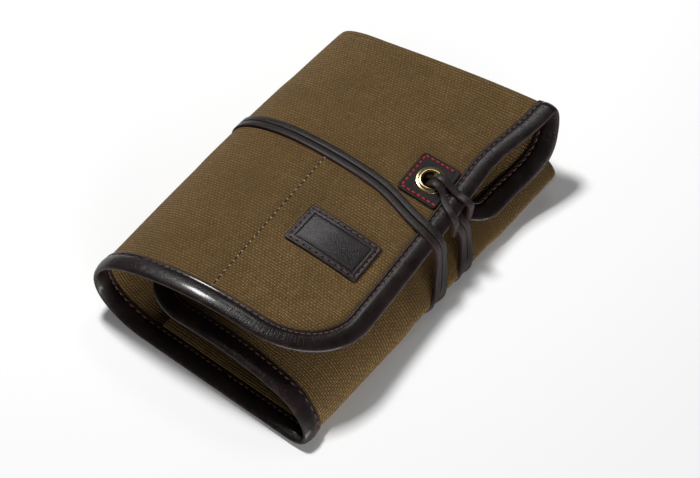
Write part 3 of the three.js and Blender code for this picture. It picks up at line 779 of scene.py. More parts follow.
class GroupMaker:
    """Shader node groups that several finishes use, each built once."""

    def build(self) -> None:
        """Builds every group."""
        self.build_weave()
        self.build_grain()
        self.build_holes()

    @staticmethod
    def start(name: str, vector: str, values: dict[str, float], outputs: Sequence[str]) -> tuple[
            NodeTree, Sequence[Socket], bpy.types.Node]:
        """An empty group with its sockets.

        Args:
            name: Group name.
            vector: Name of the vector input.
            values: Names and defaults of the float inputs.
            outputs: Names of the float outputs.

        Returns:
            The group's node helper, its inputs and its output node.
        """
        group = bpy.data.node_groups.new(name, "ShaderNodeTree")
        group.interface.new_socket(vector, in_out="INPUT", socket_type="NodeSocketVector")
        for label, default in values.items():
            socket = group.interface.new_socket(label, in_out="INPUT", socket_type="NodeSocketFloat")
            socket.default_value = default
        for label in outputs:
            group.interface.new_socket(label, in_out="OUTPUT", socket_type="NodeSocketFloat")
        nodes = NodeTree(group)
        return nodes, nodes.add("NodeGroupInput").outputs, nodes.add("NodeGroupOutput")

    def build_weave(self) -> None:
        """Plain weave: two cosines of the thread counts multiplied; size is height, sign is warp or weft."""
        nodes, given, result = self.start(
            "plain_weave", "UV", {"Across": 0.00116, "Along": 0.002}, ("Height", "Warp", "Slub", "Chance"))
        wander_scale, wander_swing = 90.0, 1.1
        crown_power, warp_edge = 0.6, 0.3
        slub_long, slub_fine, slub_detail = 60.0, 900.0, 2.0
        slub_band = (0.5, 0.8)
        split = nodes.add("ShaderNodeSeparateXYZ", {0: given["UV"]})
        wander = nodes.noise(given["UV"], wander_scale, 2.0)
        drift = nodes.scaled(nodes.math("SUBTRACT", wander, 0.5), wander_swing)
        counts = [nodes.total(nodes.math("DIVIDE", split.outputs[axis], given[pitch]), drift)
                  for axis, pitch in enumerate(("Across", "Along"))]
        waves = [nodes.math("COSINE", nodes.scaled(count, math.pi)) for count in counts]
        rounded = [nodes.math("ROUND", count) for count in counts]
        cell = nodes.add("ShaderNodeCombineXYZ", dict(enumerate(rounded)))
        chance = nodes.add("ShaderNodeTexWhiteNoise", {"Vector": cell.outputs[0]}, noise_dimensions="2D")
        product = nodes.scaled(*waves)
        slub = nodes.math("MAXIMUM", nodes.stretched(given["UV"], (slub_fine, slub_long, 1.0), slub_detail),
                          nodes.stretched(given["UV"], (slub_long, slub_fine, 1.0), slub_detail))
        nodes.feed(result, {
            "Height": nodes.math("POWER", nodes.math("ABSOLUTE", product), crown_power),
            "Warp": nodes.ramp(product, -warp_edge, warp_edge),
            "Slub": nodes.ramp(slub, *slub_band),
            "Chance": chance.outputs["Value"]})

    def build_grain(self) -> None:
        """Leather grain: small cells with sunken edges over a slow swell, and a tone that follows it."""
        nodes, given, result = self.start("leather_grain", "Vector", {"Scale": 900.0}, ("Height", "Tone"))
        swell_scale, cell_edge, cell_height = 70.0, 0.16, 0.45
        tone_band = (0.3, 0.75)
        cells = nodes.add("ShaderNodeTexVoronoi", {"Vector": given["Vector"], "Scale": given["Scale"]},
                          feature="DISTANCE_TO_EDGE")
        swell = nodes.noise(given["Vector"], swell_scale, 4.0)
        edge = nodes.ramp(cells.outputs["Distance"], 0.0, cell_edge)
        nodes.feed(result, {"Height": nodes.total(nodes.scaled(edge, cell_height), swell),
                            "Tone": nodes.ramp(swell, *tone_band)})

    def build_holes(self) -> None:
        """Awl holes between stitches: places at whole pitches along a line at one distance across."""
        nodes, given, result = self.start(
            "awl_holes", "UV", {"Pitch": 0.0045, "Line": 0.0094, "Radius": 0.0006}, ("Hole", "Groove"))
        hole_band, groove_band = (1.25, 0.7), (2.2, 0.6)
        split = nodes.add("ShaderNodeSeparateXYZ", {0: given["UV"]})
        count = nodes.math("DIVIDE", split.outputs[0], given["Pitch"])
        along = nodes.scaled(nodes.math("SUBTRACT", count, nodes.math("ROUND", count)), given["Pitch"])
        across = nodes.math("SUBTRACT", split.outputs[1], given["Line"])
        away = nodes.math("SQRT", nodes.total(nodes.scaled(along, along), nodes.scaled(across, across)))
        level = nodes.math("DIVIDE", nodes.math("ABSOLUTE", across), given["Radius"])
        nodes.feed(result, {"Hole": nodes.ramp(nodes.math("DIVIDE", away, given["Radius"]), *hole_band),
                            "Groove": nodes.ramp(level, *groove_band)})


@dataclass(frozen=True)
class Finish:
    """What every finish shares: a name, and how a new material gets its shader."""

    name: str

    def build(self) -> Material:
        """Makes the material: a Principled shader with this finish's inputs, and the output.

        Returns:
            The material.
        """
        material = bpy.data.materials.new(self.name)
        material.use_nodes = True
        nodes = NodeTree(material.node_tree)
        shader = nodes.add("ShaderNodeBsdfPrincipled", self.look(nodes))
        nodes.add("ShaderNodeOutputMaterial", {"Surface": shader.outputs[0]})
        return material

    def look(self, nodes: NodeTree) -> dict[str, object]:
        """The shader's inputs, which each finish gives in its own way."""
        raise NotImplementedError


@dataclass(frozen=True)
class CanvasFinish(Finish):
    """Waxed canvas: a plain weave with painted shade in its gaps and painted highlights on its thread tops,
    pale wax bloom and rubbed folds.
    """

    # deep: painted shade, the dark colour of the weave's gaps; also the darker tone of some weft threads and
    # cloud patches.
    deep: Colour = (0.046, 0.025, 0.0080)
    body: Colour = (0.182, 0.108, 0.0385)
    # crown: a painted highlight on the tops of the warp floats.
    crown: Colour = (0.240, 0.153, 0.063)
    bloom: Colour = (0.37, 0.27, 0.145)
    cloud_scale: float = 28.0
    fleck_scale: float = 420.0
    crown_highlight_band: Pair = (0.35, 0.9)
    shade_band: Pair = (0.62, 0.35)
    rubbed_band: Pair = (0.35, 0.62)
    fleck_band: Pair = (0.56, 0.78)
    cloud_band: Pair = (0.38, 0.66)
    bloom_band: Pair = (0.2, 0.75)
    weft_shade: float = 0.5
    cloud_shade: float = 0.22
    rubbed_bloom: float = 0.4
    fleck_bloom: float = 0.5
    slub_bloom: float = 0.3
    rough: float = 0.62
    rough_swing: float = 0.22
    thread_relief: float = 0.35
    cloud_relief: float = 0.8
    relief: float = 0.00045
    relief_strength: float = 0.9
    gloss: float = 0.12

    def look(self, nodes: NodeTree) -> dict[str, object]:
        """The nodes behind the shader.

        Args:
            nodes: The material's nodes.

        Returns:
            The shader's inputs.
        """
        coords = nodes.add("ShaderNodeTexCoord")
        weave = nodes.group("plain_weave", {"UV": coords.outputs["UV"]})
        height, warp, slub, chance = (weave.outputs[name] for name in ("Height", "Warp", "Slub", "Chance"))
        cloud = nodes.noise(coords.outputs["Object"], self.cloud_scale, 5.0, 0.6)
        fleck = nodes.noise(coords.outputs["Object"], self.fleck_scale, 4.0, 0.65)
        # Painted shade: the gaps between the threads darken towards deep.
        colour = nodes.mix(height, self.deep, self.body)
        # Painted highlight: warp float tops, picked at random, lighten towards crown.
        float_highlight = nodes.scaled(warp, nodes.ramp(height, *self.crown_highlight_band))
        colour = nodes.mix(nodes.scaled(float_highlight, chance), colour, self.crown)
        weft = nodes.scaled(nodes.math("SUBTRACT", 1.0, warp), nodes.scaled(chance, self.weft_shade))
        colour = nodes.mix(weft, colour, self.deep)
        shade = nodes.scaled(nodes.ramp(cloud, *self.shade_band), self.cloud_shade)
        colour = nodes.mix(shade, colour, self.deep)
        rubbed = nodes.scaled(nodes.mark("wear"), nodes.ramp(fleck, *self.rubbed_band))
        dusty = nodes.scaled(nodes.ramp(fleck, *self.fleck_band), nodes.ramp(cloud, *self.cloud_band))
        pale = nodes.math("MAXIMUM", nodes.scaled(rubbed, self.rubbed_bloom),
                          nodes.scaled(dusty, self.fleck_bloom))
        pale = nodes.math("MAXIMUM", pale, nodes.scaled(slub, self.slub_bloom))
        pale = nodes.math("MULTIPLY", pale, nodes.ramp(height, *self.bloom_band), clamp=True)
        relief = nodes.total(height, nodes.scaled(slub, self.thread_relief),
                             nodes.scaled(cloud, self.cloud_relief), nodes.scaled(warp, self.thread_relief))
        return {
            "Base Color": nodes.mix(pale, colour, self.bloom),
            "Roughness": nodes.total(self.rough, nodes.scaled(cloud, self.rough_swing)),
            "Normal": nodes.bump(relief, self.relief, self.relief_strength),
            "Specular IOR Level": self.gloss}


@dataclass(frozen=True)
class LeatherFinish(Finish):
    """Dark dressed leather: grain, a soft polish, awl holes along its stitch line painted near-black as their
    shade, and rubbed edges.
    """

    deep: Colour = (0.0055, 0.0030, 0.0030)
    tone: Colour = (0.0150, 0.0088, 0.0088)
    rubbed: Colour = (0.038, 0.022, 0.020)
    # The awl holes' near-black colour is painted shade.
    hole_shade: Colour = (0.002, 0.0015, 0.0015)
    rough: float = 0.22
    scuff_rough: float = 0.2
    hole_rough: float = 0.4
    coat: float = 0.24
    coat_rough: float = 0.14
    gloss: float = 0.2
    scuff_scale: float = 260.0
    scuff_band: Pair = (0.42, 0.68)
    rubbed_share: float = 0.7
    crinkle: float = 1.2
    crinkle_scale: Point = (900.0, 60.0, 1.0)
    crinkle_band: Pair = (0.3, 0.7)
    grain_scale: float = 900.0
    grain_depth: float = 0.00011
    grain_strength: float = 0.8
    hole_sink: float = 3.0
    groove_sink: float = 0.9
    pitch: float = 0.0045
    line: float = 0.0094
    hole: float = 0.00075

    def look(self, nodes: NodeTree) -> dict[str, object]:
        """The nodes behind the shader.

        Args:
            nodes: The material's nodes.

        Returns:
            The shader's inputs.
        """
        coords = nodes.add("ShaderNodeTexCoord")
        place, uv = coords.outputs["Object"], coords.outputs["UV"]
        grain = nodes.group("leather_grain", {"Vector": place, "Scale": self.grain_scale})
        holes = nodes.group("awl_holes", {"UV": uv, "Pitch": self.pitch, "Line": self.line,
                                          "Radius": self.hole})
        hole = holes.outputs["Hole"]
        scuff = nodes.noise(place, self.scuff_scale, 4.0, 0.65)
        colour = nodes.mix(grain.outputs["Tone"], self.deep, self.tone)
        rubbed = nodes.math("MULTIPLY", nodes.mark("wear"), nodes.ramp(scuff, *self.scuff_band), clamp=True)
        colour = nodes.mix(nodes.scaled(rubbed, self.rubbed_share), colour, self.rubbed)
        rough = nodes.total(self.rough, nodes.scaled(scuff, self.scuff_rough))
        height = nodes.math("SUBTRACT", grain.outputs["Height"], nodes.scaled(hole, self.hole_sink))
        height = nodes.math("SUBTRACT", height, nodes.scaled(holes.outputs["Groove"], self.groove_sink))
        fold = nodes.ramp(nodes.stretched(uv, self.crinkle_scale, 3.0), *self.crinkle_band)
        height = nodes.total(height, nodes.scaled(fold, self.crinkle))
        return {
            # Painted shade: the awl holes darken to near-black.
            "Base Color": nodes.mix(hole, colour, self.hole_shade),
            "Roughness": nodes.math("ADD", rough, nodes.scaled(hole, self.hole_rough), clamp=True),
            "Normal": nodes.bump(height, self.grain_depth, self.grain_strength),
            "Coat Weight": self.coat,
            "Coat Roughness": self.coat_rough,
            "Specular IOR Level": self.gloss}


@dataclass(frozen=True)
class LaceFinish(Finish):
    """Lace leather: a grey-brown dressed face and raw reddish edges."""

    face: Colour = (0.0128, 0.0094, 0.0092)
    worn: Colour = (0.0265, 0.0205, 0.0200)
    raw: Colour = (0.0240, 0.0115, 0.0105)
    raw_light: float = 2.1
    worn_band: Pair = (0.4, 0.72)
    rough: float = 0.36
    raw_rough: float = 0.35
    grain_scale: float = 1300.0
    fibre_scale: float = 700.0
    fibre_height: float = 0.6
    grain_depth: float = 0.00012
    grain_strength: float = 0.6
    gloss: float = 0.2

    def look(self, nodes: NodeTree) -> dict[str, object]:
        """The nodes behind the shader.

        Args:
            nodes: The material's nodes.

        Returns:
            The shader's inputs.
        """
        place = nodes.add("ShaderNodeTexCoord").outputs["Object"]
        grain = nodes.group("leather_grain", {"Vector": place, "Scale": self.grain_scale})
        raw = nodes.mark("raw_edge")
        fibre = nodes.noise(place, self.fibre_scale, 4.0, 0.7)
        face = nodes.mix(nodes.ramp(fibre, *self.worn_band), self.face, self.worn)
        edge = nodes.mix(fibre, self.raw, tuple(self.raw_light * c for c in self.raw))
        height = nodes.total(grain.outputs["Height"], nodes.scaled(fibre, self.fibre_height))
        return {
            "Base Color": nodes.mix(raw, face, edge),
            "Roughness": nodes.total(self.rough, nodes.scaled(raw, self.raw_rough)),
            "Normal": nodes.bump(height, self.grain_depth, self.grain_strength),
            "Specular IOR Level": self.gloss}


@dataclass(frozen=True)
class ThreadFinish(Finish):
    """Waxed sewing thread: one colour, varied by its twist."""

    colour: Colour = (0.105, 0.046, 0.036)
    rough: float = 0.5
    dark: float = 0.55
    light: float = 1.35
    twist_scale: float = 1500.0
    twist_band: Pair = (0.3, 0.7)
    twist_depth: float = 0.0001
    twist_strength: float = 0.5
    gloss: float = 0.2

    def look(self, nodes: NodeTree) -> dict[str, object]:
        """The nodes behind the shader.

        Args:
            nodes: The material's nodes.

        Returns:
            The shader's inputs.
        """
        twist = nodes.noise(nodes.add("ShaderNodeTexCoord").outputs["Object"], self.twist_scale, 2.0)
        dark, light = (tuple(share * c for c in self.colour) for share in (self.dark, self.light))
        return {
            "Base Color": nodes.mix(nodes.ramp(twist, *self.twist_band), dark, light),
            "Roughness": self.rough,
            "Normal": nodes.bump(twist, self.twist_depth, self.twist_strength),
            "Specular IOR Level": self.gloss}


@dataclass(frozen=True)
class BrassFinish(Finish):
    """Polished brass with faint brushing and a darker tarnish in patches."""

    bright: Colour = (0.70, 0.56, 0.28)
    dull: Colour = (0.46, 0.34, 0.15)
    patch_scale: float = 240.0
    patch_band: Pair = (0.42, 0.75)
    rough: float = 0.14
    patch_rough: float = 0.14
    brush_scale: float = 2600.0
    brush_depth: float = 0.00003
    brush_strength: float = 0.08

    def look(self, nodes: NodeTree) -> dict[str, object]:
        """The nodes behind the shader.

        Args:
            nodes: The material's nodes.

        Returns:
            The shader's inputs.
        """
        place = nodes.add("ShaderNodeTexCoord").outputs["Object"]
        patch = nodes.noise(place, self.patch_scale, 4.0)
        brush = nodes.noise(place, self.brush_scale, 2.0)
        return {
            "Base Color": nodes.mix(nodes.ramp(patch, *self.patch_band), self.bright, self.dull),
            "Metallic": 1.0,
            "Roughness": nodes.total(self.rough, nodes.scaled(patch, self.patch_rough)),
            "Normal": nodes.bump(brush, self.brush_depth, self.brush_strength)}




@dataclass(frozen=True)
class FloorFinish(Finish):
    """A matt white floor."""

    colour: Colour = (0.96, 0.96, 0.96)
    rough: float = 0.9
    gloss: float = 0.1

    def look(self, nodes: NodeTree) -> dict[str, object]:
        """The shader's inputs, which need no nodes."""
        return {"Base Color": self.colour, "Roughness": self.rough, "Specular IOR Level": self.gloss}


class Finishes:
    """Every material of the roll, built once."""

    def __init__(self) -> None:
        """Builds the groups and the materials."""
        GroupMaker().build()
        self.canvas = CanvasFinish("waxed_canvas").build()
        self.binding = LeatherFinish("binding_leather").build()
        self.label = LeatherFinish("label_leather", tone=(0.013, 0.0095, 0.0105), rough=0.26, coat=0.2,
                                   gloss=0.3, crinkle=0.0, grain_depth=0.00012, line=-1.0).build()
        self.patch = LeatherFinish("patch_leather", tone=(0.0125, 0.0072, 0.0072), rough=0.42, coat=0.0,
                                   crinkle=0.0, grain_depth=0.0002, line=-1.0).build()
        # awl_hole_shade: a near-black matt finish that paints the shade inside the awl holes.
        self.shadow = ThreadFinish("awl_hole_shade", colour=(0.004, 0.003, 0.003), rough=0.9).build()
        self.lace = LaceFinish("lace_leather").build()
        self.brown_thread = ThreadFinish("brown_thread").build()
        self.dark_thread = ThreadFinish("dark_thread", colour=(0.010, 0.0062, 0.0050)).build()
        self.pale_knot = ThreadFinish("pale_knot", colour=(0.36, 0.27, 0.16), rough=0.8).build()
        self.red_thread = ThreadFinish("red_thread", colour=(0.42, 0.022, 0.026)).build()
        self.brass = BrassFinish("eyelet_brass").build()


@dataclass(frozen=True)
class EdgePath:
    """Stops along a bound edge: places in the surface's two parameters, and the way inward there."""

    places: Array
    inward: Array

    @property
    def length(self) -> Array:
        """Distance along the edge at each stop."""
        return walked(self.places)

    def at(self, distance: Array) -> tuple[Array, Array]:
        """Places and unit inward ways at distances along the edge."""
        length = self.length
        return taken_at(self.places, length, distance), unit(taken_at(self.inward, length, distance))


def straight_edge(start: Pair, end: Pair, inward: Pair, step: float = 2.0) -> EdgePath:
    """A straight stretch of edge, with stops about one step apart."""
    places = np.linspace(start, end, max(2, int(round(math.dist(start, end) / step)) + 1))
    return EdgePath(places, np.tile(np.array(inward, float), (len(places), 1)))


def corner_edge(corner: Pair, inward: Pair, radius: float, from_side: bool, step: float = 2.0) -> EdgePath:
    """A rounded corner: a quarter circle between the side edge and the end edge.

    Args:
        corner: The sharp corner's place.
        inward: Signs of the two inward ways.
        radius: Corner radius.
        from_side: Whether the path starts on the side edge.
        step: Distance between stops.

    Returns:
        The path.
    """
    angle = spread(0.0, math.pi / 2, step / radius)
    if not from_side:
        angle = angle[::-1]
    ways = np.stack([np.cos(angle) * inward[0], np.sin(angle) * inward[1]], axis=-1)
    insets = np.stack([(1 - np.cos(angle)) * inward[0], (1 - np.sin(angle)) * inward[1]], axis=-1)
    return EdgePath(np.array(corner, float) + radius * insets, ways)


def whole_edge(*stretches: EdgePath) -> EdgePath:
    """Stretches joined end to end, with repeated stops left out.

    Args:
        stretches: The stretches, in order.

    Returns:
        The path.
    """
    same_place = 1e-6
    places = np.concatenate([stretch.places for stretch in stretches])
    inward = np.concatenate([stretch.inward for stretch in stretches])
    fresh = np.concatenate([[True], np.linalg.norm(np.diff(places, axis=0), axis=1) > same_place])
    return EdgePath(places[fresh], inward[fresh])


@dataclass(frozen=True)
class Stitching:
    """A row of stitches: short waxed threads with rounded ends, each laid on the surface."""

    pitch: float = 4.5
    half_length: float = 1.4
    radius: float = 0.4
    sides: int = 6
    end_width: float = 0.06
    arch: float = 0.30
    sink: float = 0.22
    flatness: float = 0.8

    def capsule(self) -> tuple[Array, list[list[int]]]:
        """One stitch: rings of an arched bar, as wide as the root of one less the place's sixth power.

        Returns:
            Points in length, side and lift, and faces.
        """
        place = np.array([-1.0, -0.86, -0.45, 0.0, 0.45, 0.86, 1.0])
        width = np.sqrt(np.maximum(self.end_width, 1 - place**6))
        arch = self.arch * (1 - place**2) - self.sink
        turn = np.arange(self.sides) * 2 * math.pi / self.sides
        side = width[:, None] * np.cos(turn)[None] * self.radius
        lift = (width[:, None] * np.sin(turn)[None] * self.flatness + arch[:, None]) * self.radius
        length = np.broadcast_to((place * self.half_length)[:, None], side.shape)
        points = np.stack([length, side, lift], axis=-1).reshape(-1, 3)
        index = np.arange(points.shape[0]).reshape(len(place), self.sides)
        quads = ring_quads(index[:-1], index[1:])
        return points, quads[:, ::-1].tolist() + [index[0].tolist(), index[-1][::-1].tolist()]

    def lay(self, middles: Array, ways: Array, normals: Array) -> Cut:
        """Stitches at many places: the one stitch carried into each place's own three directions.

        Args:
            middles: Places of the stitches.
            ways: Directions of the stitches.
            normals: Outward normals.

        Returns:
            All the stitches as one cut.
        """
        points, faces = self.capsule()
        way = unit(ways - normals * np.sum(ways * normals, axis=-1, keepdims=True))
        side = np.cross(normals, way)
        axes = np.stack([way, side, normals], axis=1)
        placed = middles[:, None, :] + np.einsum("pk,nkd->npd", points, axes)
        count = len(points)
        every = [[i + count * n for i in face] for n in range(len(middles)) for face in faces]
        return Cut(placed.reshape(-1, 3), every, np.zeros((placed.shape[0] * count, 2)))


@dataclass(frozen=True)
class Wear:
    """A rubbed band: a bell curve of the distance, with its middle, reach and share."""

    middle: float
    reach: float
    share: float

    def at(self, distance: Array) -> Array:
        """How rubbed the surface is at distances."""
        return self.share * np.exp(-(((distance - self.middle) / self.reach) ** 2))


@dataclass
class Tailor:
    """Everything that the sub-assemblies need: the shape, the placement and the finishes."""

    shape: RollShape
    placement: Placement
    finishes: Finishes

    def sheet(self, surface: Surface, runs: Array, alongs: Array, low: Array | float, high: Array | float,
              wear: Array | None = None, keep: Array | None = None) -> Cut:
        """A sheet between two lifts from a surface, over grids of places.

        Args:
            surface: Middle surface.
            runs: Grid of the first parameter.
            alongs: Grid of the second parameter.
            low: Lift of the inner face.
            high: Lift of the outer face.
            wear: Grid of rubbed shares.
            keep: Which quads are kept.

        Returns:
            The sheet in the row frame.
        """
        points, normals = self.shape.frames(surface, runs, alongs)
        faces = [self.placement.place(points + normals * (lift + np.zeros_like(runs))[..., None])
                 for lift in (high, low)]
        across = walked(points[:, points.shape[1] // 2]) + runs[0, 0]
        uv = np.stack([np.broadcast_to(across[:, None], runs.shape), alongs], axis=-1) * MM
        marks = {"wear": np.zeros_like(runs) if wear is None else wear}
        return shell(faces[0], faces[1], uv, keep, marks)

    def stitches(self, surface: Surface, edge: EdgePath, inset: float, lift: float, style: Stitching,
                 start: float = 0.5, sides: Sequence[int] = (1,)) -> Cut:
        """Rows of stitches at one inset from an edge, which stop half a pitch before its end.

        Args:
            surface: Surface that carries the edge.
            edge: The edge.
            inset: Distance inward from the edge.
            lift: Distance from the surface.
            style: The stitches.
            start: Distance of the first stitch from the edge's start, in pitches.
            sides: Faces that get a row: 1 for the outer, -1 for the inner.

        Returns:
            The stitches in the row frame.
        """
        nudge = 0.3
        distance = np.arange(start * style.pitch, edge.length[-1] - style.pitch / 2, style.pitch)
        places, inward = edge.at(distance)
        seats = places + inward * inset
        before, _ = edge.at(distance - nudge)
        after, _ = edge.at(distance + nudge)
        step = after - before
        points, normals = self.shape.frames(surface, seats[:, 0], seats[:, 1])
        ahead = surface(seats[:, 0] + step[:, 0], seats[:, 1] + step[:, 1])
        faces = np.concatenate([normals * side for side in sides])
        seated = np.tile(points, (len(sides), 1))
        cut = style.lay(seated + faces * lift, np.tile(ahead, (len(sides), 1)) - seated, faces)
        return Cut(self.placement.place(cut.points), cut.faces, cut.uv)


@dataclass
class Canvas:
    """The cloth: the flap with the back fold and half of the base, the rest, its hems and dust flaps."""

    tailor: Tailor
    step: float = 2.6
    fold_step: float = 1.3
    flat_step: float = 3.0
    turn_step: float = 1.2
    hem_step: Pair = (1.6, 1.0)
    flap_corner_turn: float = 0.07
    inner_corner_turn: float = 0.08
    dust_corner_turn: float = 0.1
    pocket_thickness: float = 1.2
    pocket_gap: float = 0.4
    pocket_mouth: float = 138.0
    eyelet_clear: float = 7.4
    back_worn: Wear = Wear(26.0, 22.0, 0.55)
    front_worn: Wear = Wear(22.0, 14.0, 0.5)
    far_worn: Wear = Wear(0.0, 5.0, 0.8)
    dust_worn: Wear = Wear(-3.0, 6.0, 0.8)
    hem_worn: Wear = Wear(0.4, 0.25, 1.0)
    mouth_worn: Wear = Wear(0.0, 4.0, 1.0)
    divider_start: Pair = (86.6, 13.0)
    divider_end: Pair = (92.8, 141.0)
    divider_lift: float = 0.12
    divider_knots: Stitching = Stitching(4.6, 0.62, 0.5)
    divider_thread: Stitching = Stitching(4.6, 1.5, 0.46)

    @property
    def half(self) -> float:
        """Half of the canvas's thickness."""
        return self.tailor.shape.canvas / 2

    @staticmethod
    def corner_runs(radius: float, turn: float) -> Array:
        """Distances from the side over a rounded corner: the radius times one less an angle's cosine."""
        return radius * (1 - np.cos(spread(0.0, math.pi / 2, turn)))

    @staticmethod
    def corner_start(distance: Array, radius: float) -> Array:
        """Where a rounded corner's column starts: the circle's height at a distance from the side."""
        near = np.clip(radius - distance, 0.0, radius)
        return radius - np.sqrt(np.maximum(radius**2 - near**2, 0.0))

    def columns(self, runs: Array, starts: Array, ends: Array) -> tuple[Array, Array]:
        """Grids of places: each column runs from its start to its end along the cloth.

        Args:
            runs: Run of each column.
            starts: Start of each column.
            ends: End of each column.

        Returns:
            Grids of runs and alongs.
        """
        share = spread(0.0, 1.0, self.step / self.tailor.shape.cloth_length)
        alongs = starts[:, None] + (ends - starts)[:, None] * share[None]
        return np.broadcast_to(runs[:, None], alongs.shape).copy(), alongs

    def rubbed(self, runs: Array, alongs: Array) -> Array:
        """How rubbed the cloth is along both folds and along the far end.

        Args:
            runs: Grid of runs.
            alongs: Grid of alongs.

        Returns:
            Grid of shares.
        """
        shape = self.tailor.shape
        back = self.back_worn.at(runs - shape.flap_run)
        front = self.front_worn.at(runs - shape.base_end)
        far = self.far_worn.at(shape.far_end(runs) - alongs)
        return np.clip(back + front + far, 0.0, 1.0)

    def cloth_piece(self, cut: Cut, name: str, nodes: Sequence[str], carrier: Body | Bend) -> Object:
        """A cut made into a finished canvas piece."""
        return piece(cut, name, self.tailor.finishes.canvas, nodes, carrier)

    def build_flap_and_back(self) -> None:
        """The flap, the back fold and half of the base as one cloth, with the eyelet's hole.
        """
        shape = self.tailor.shape
        side = self.corner_runs(shape.flap_corner, self.flap_corner_turn)
        runs = np.concatenate([side, spread(shape.flap_corner, shape.base_middle, self.step)[1:]])
        flap_end = shape.flap_run - shape.pocket_inset
        ends = np.where(runs < flap_end, shape.cloth_length, shape.far_end(runs)) - shape.dust_turn
        grid_runs, grid_alongs = self.columns(runs, self.corner_start(runs, shape.flap_corner), ends)
        mid_runs = (grid_runs[:-1, :-1] + grid_runs[1:, 1:]) / 2
        mid_alongs = (grid_alongs[:-1, :-1] + grid_alongs[1:, 1:]) / 2
        away = np.hypot(mid_runs - shape.eyelet_at[0], mid_alongs - shape.eyelet_at[1])
        cut = self.tailor.sheet(shape.cloth, grid_runs, grid_alongs, -self.half, self.half,
                                self.rubbed(grid_runs, grid_alongs), away > self.eyelet_clear)
        nodes = ["top_flap_canvas", "back_fold_canvas"]
        obj = self.cloth_piece(cut, "canvas_flap_and_back", nodes, BACK_BEND)

    def build_base_and_inner(self) -> None:
        """The rest of the base, the front fold and the inner panel as one cloth.
        """
        shape = self.tailor.shape
        side = self.corner_runs(shape.inner_corner, self.inner_corner_turn)
        corner = shape.cloth_run - shape.inner_corner
        runs = np.concatenate([spread(shape.base_middle, shape.base_end, self.step)[:-1],
                               spread(shape.base_end, shape.inner_start, self.fold_step)[:-1],
                               spread(shape.inner_start, corner, self.step)[:-1],
                               shape.cloth_run - side[::-1]])
        starts = self.corner_start(shape.cloth_run - runs, shape.inner_corner)
        ends = np.full_like(runs, shape.base_length - shape.dust_turn)
        grid_runs, grid_alongs = self.columns(runs, starts, ends)
        cut = self.tailor.sheet(shape.cloth, grid_runs, grid_alongs, -self.half, self.half,
                                self.rubbed(grid_runs, grid_alongs))
        nodes = ["base_canvas", "front_fold_canvas", "inner_panel_canvas"]
        obj = self.cloth_piece(cut, "canvas_base_and_inner", nodes, FRONT_BEND)

    def build_hems(self) -> list[Object]:
        """The far end's hems on the back fold and base, and on the front fold and inner panel.

        Returns:
            The pieces.
        """
        shape = self.tailor.shape
        across_step, round_step = self.hem_step
        stretches = [("hem_back", shape.flap_run - shape.pocket_inset, shape.base_middle, BACK_BEND),
                     ("hem_front", shape.base_middle, shape.cloth_run, FRONT_BEND)]
        made = []
        for name, start, end, bend in stretches:
            runs, walks = np.meshgrid(spread(start, end, across_step),
                                      spread(0.0, shape.hem_walk, round_step), indexing="ij")
            wear = self.hem_worn.at(walks / shape.hem_walk)
            cut = self.tailor.sheet(shape.hem, runs, walks, -self.half, self.half, wear)
            made.append(self.cloth_piece(cut, name, [], bend))
        return made

    def build_dust_flap(self) -> None:
        """The far fold and the dust flap as one cloth, with a rounded inner corner."""
        shape = self.tailor.shape
        side = self.corner_runs(shape.dust_corner, self.dust_corner_turn)
        flap_end = shape.flap_run - shape.pocket_inset
        runs = np.concatenate([side, spread(shape.dust_corner, flap_end, self.step)[1:]])
        ends = shape.dust_depth - self.corner_start(runs, shape.dust_corner)
        grid_runs, backs = self.columns(runs, np.full_like(runs, -shape.dust_start), ends)
        thin = smooth((backs + shape.dust_start) / (2 * shape.dust_start))
        half = (shape.canvas + (shape.dust_canvas - shape.canvas) * thin) / 2
        cut = self.tailor.sheet(shape.dust, grid_runs, backs, -half, half, self.dust_worn.at(backs))
        obj = self.cloth_piece(cut, "canvas_dust_flap", ["far_fold_canvas", "dust_flap_canvas"], FAR_BEND)

    def build_plain_dust(self) -> None:
        """The dust flap's stretches over the base and the inner panel."""
        shape = self.tailor.shape
        stretches = [("base_dust_flap", *shape.base_dust_reach, Body.BASE),
                     ("inner_dust_flap", *shape.inner_dust_reach, Body.INNER)]
        half = shape.dust_canvas / 2
        round_turn = spread(-shape.plain_turn, shape.dust_depth, self.turn_step)
        for node, start, end, body in stretches:
            runs, backs = np.meshgrid(spread(start, end, self.flat_step), round_turn, indexing="ij")
            cut = self.tailor.sheet(shape.plain_dust, runs, backs, -half, half)
            obj = self.cloth_piece(cut, "canvas_" + node, [node], body)

    def build_pockets(self) -> None:
        """The pocket panels on the inner faces of the flap, the base and the inner panel."""
        shape = self.tailor.shape
        inset = shape.pocket_inset
        stretches = [("top_flap_pocket", shape.flap_corner, shape.flap_run - inset, Body.FLAP),
                     ("base_pocket", shape.base_start + inset, shape.base_end - inset, Body.BASE),
                     ("inner_panel_pocket", shape.inner_start + inset, shape.cloth_run - shape.inner_corner,
                      Body.INNER)]
        high = -self.half - self.pocket_gap
        low = high - self.pocket_thickness
        floor = shape.binding_width + shape.seam
        for node, start, end, body in stretches:
            runs, alongs = np.meshgrid(spread(start, end, self.flat_step),
                                       spread(floor, self.pocket_mouth, self.flat_step), indexing="ij")
            wear = self.mouth_worn.at(self.pocket_mouth - alongs)
            cut = self.tailor.sheet(shape.cloth, runs, alongs, low, high, wear)
            obj = self.cloth_piece(cut, "canvas_" + node, [node], body)

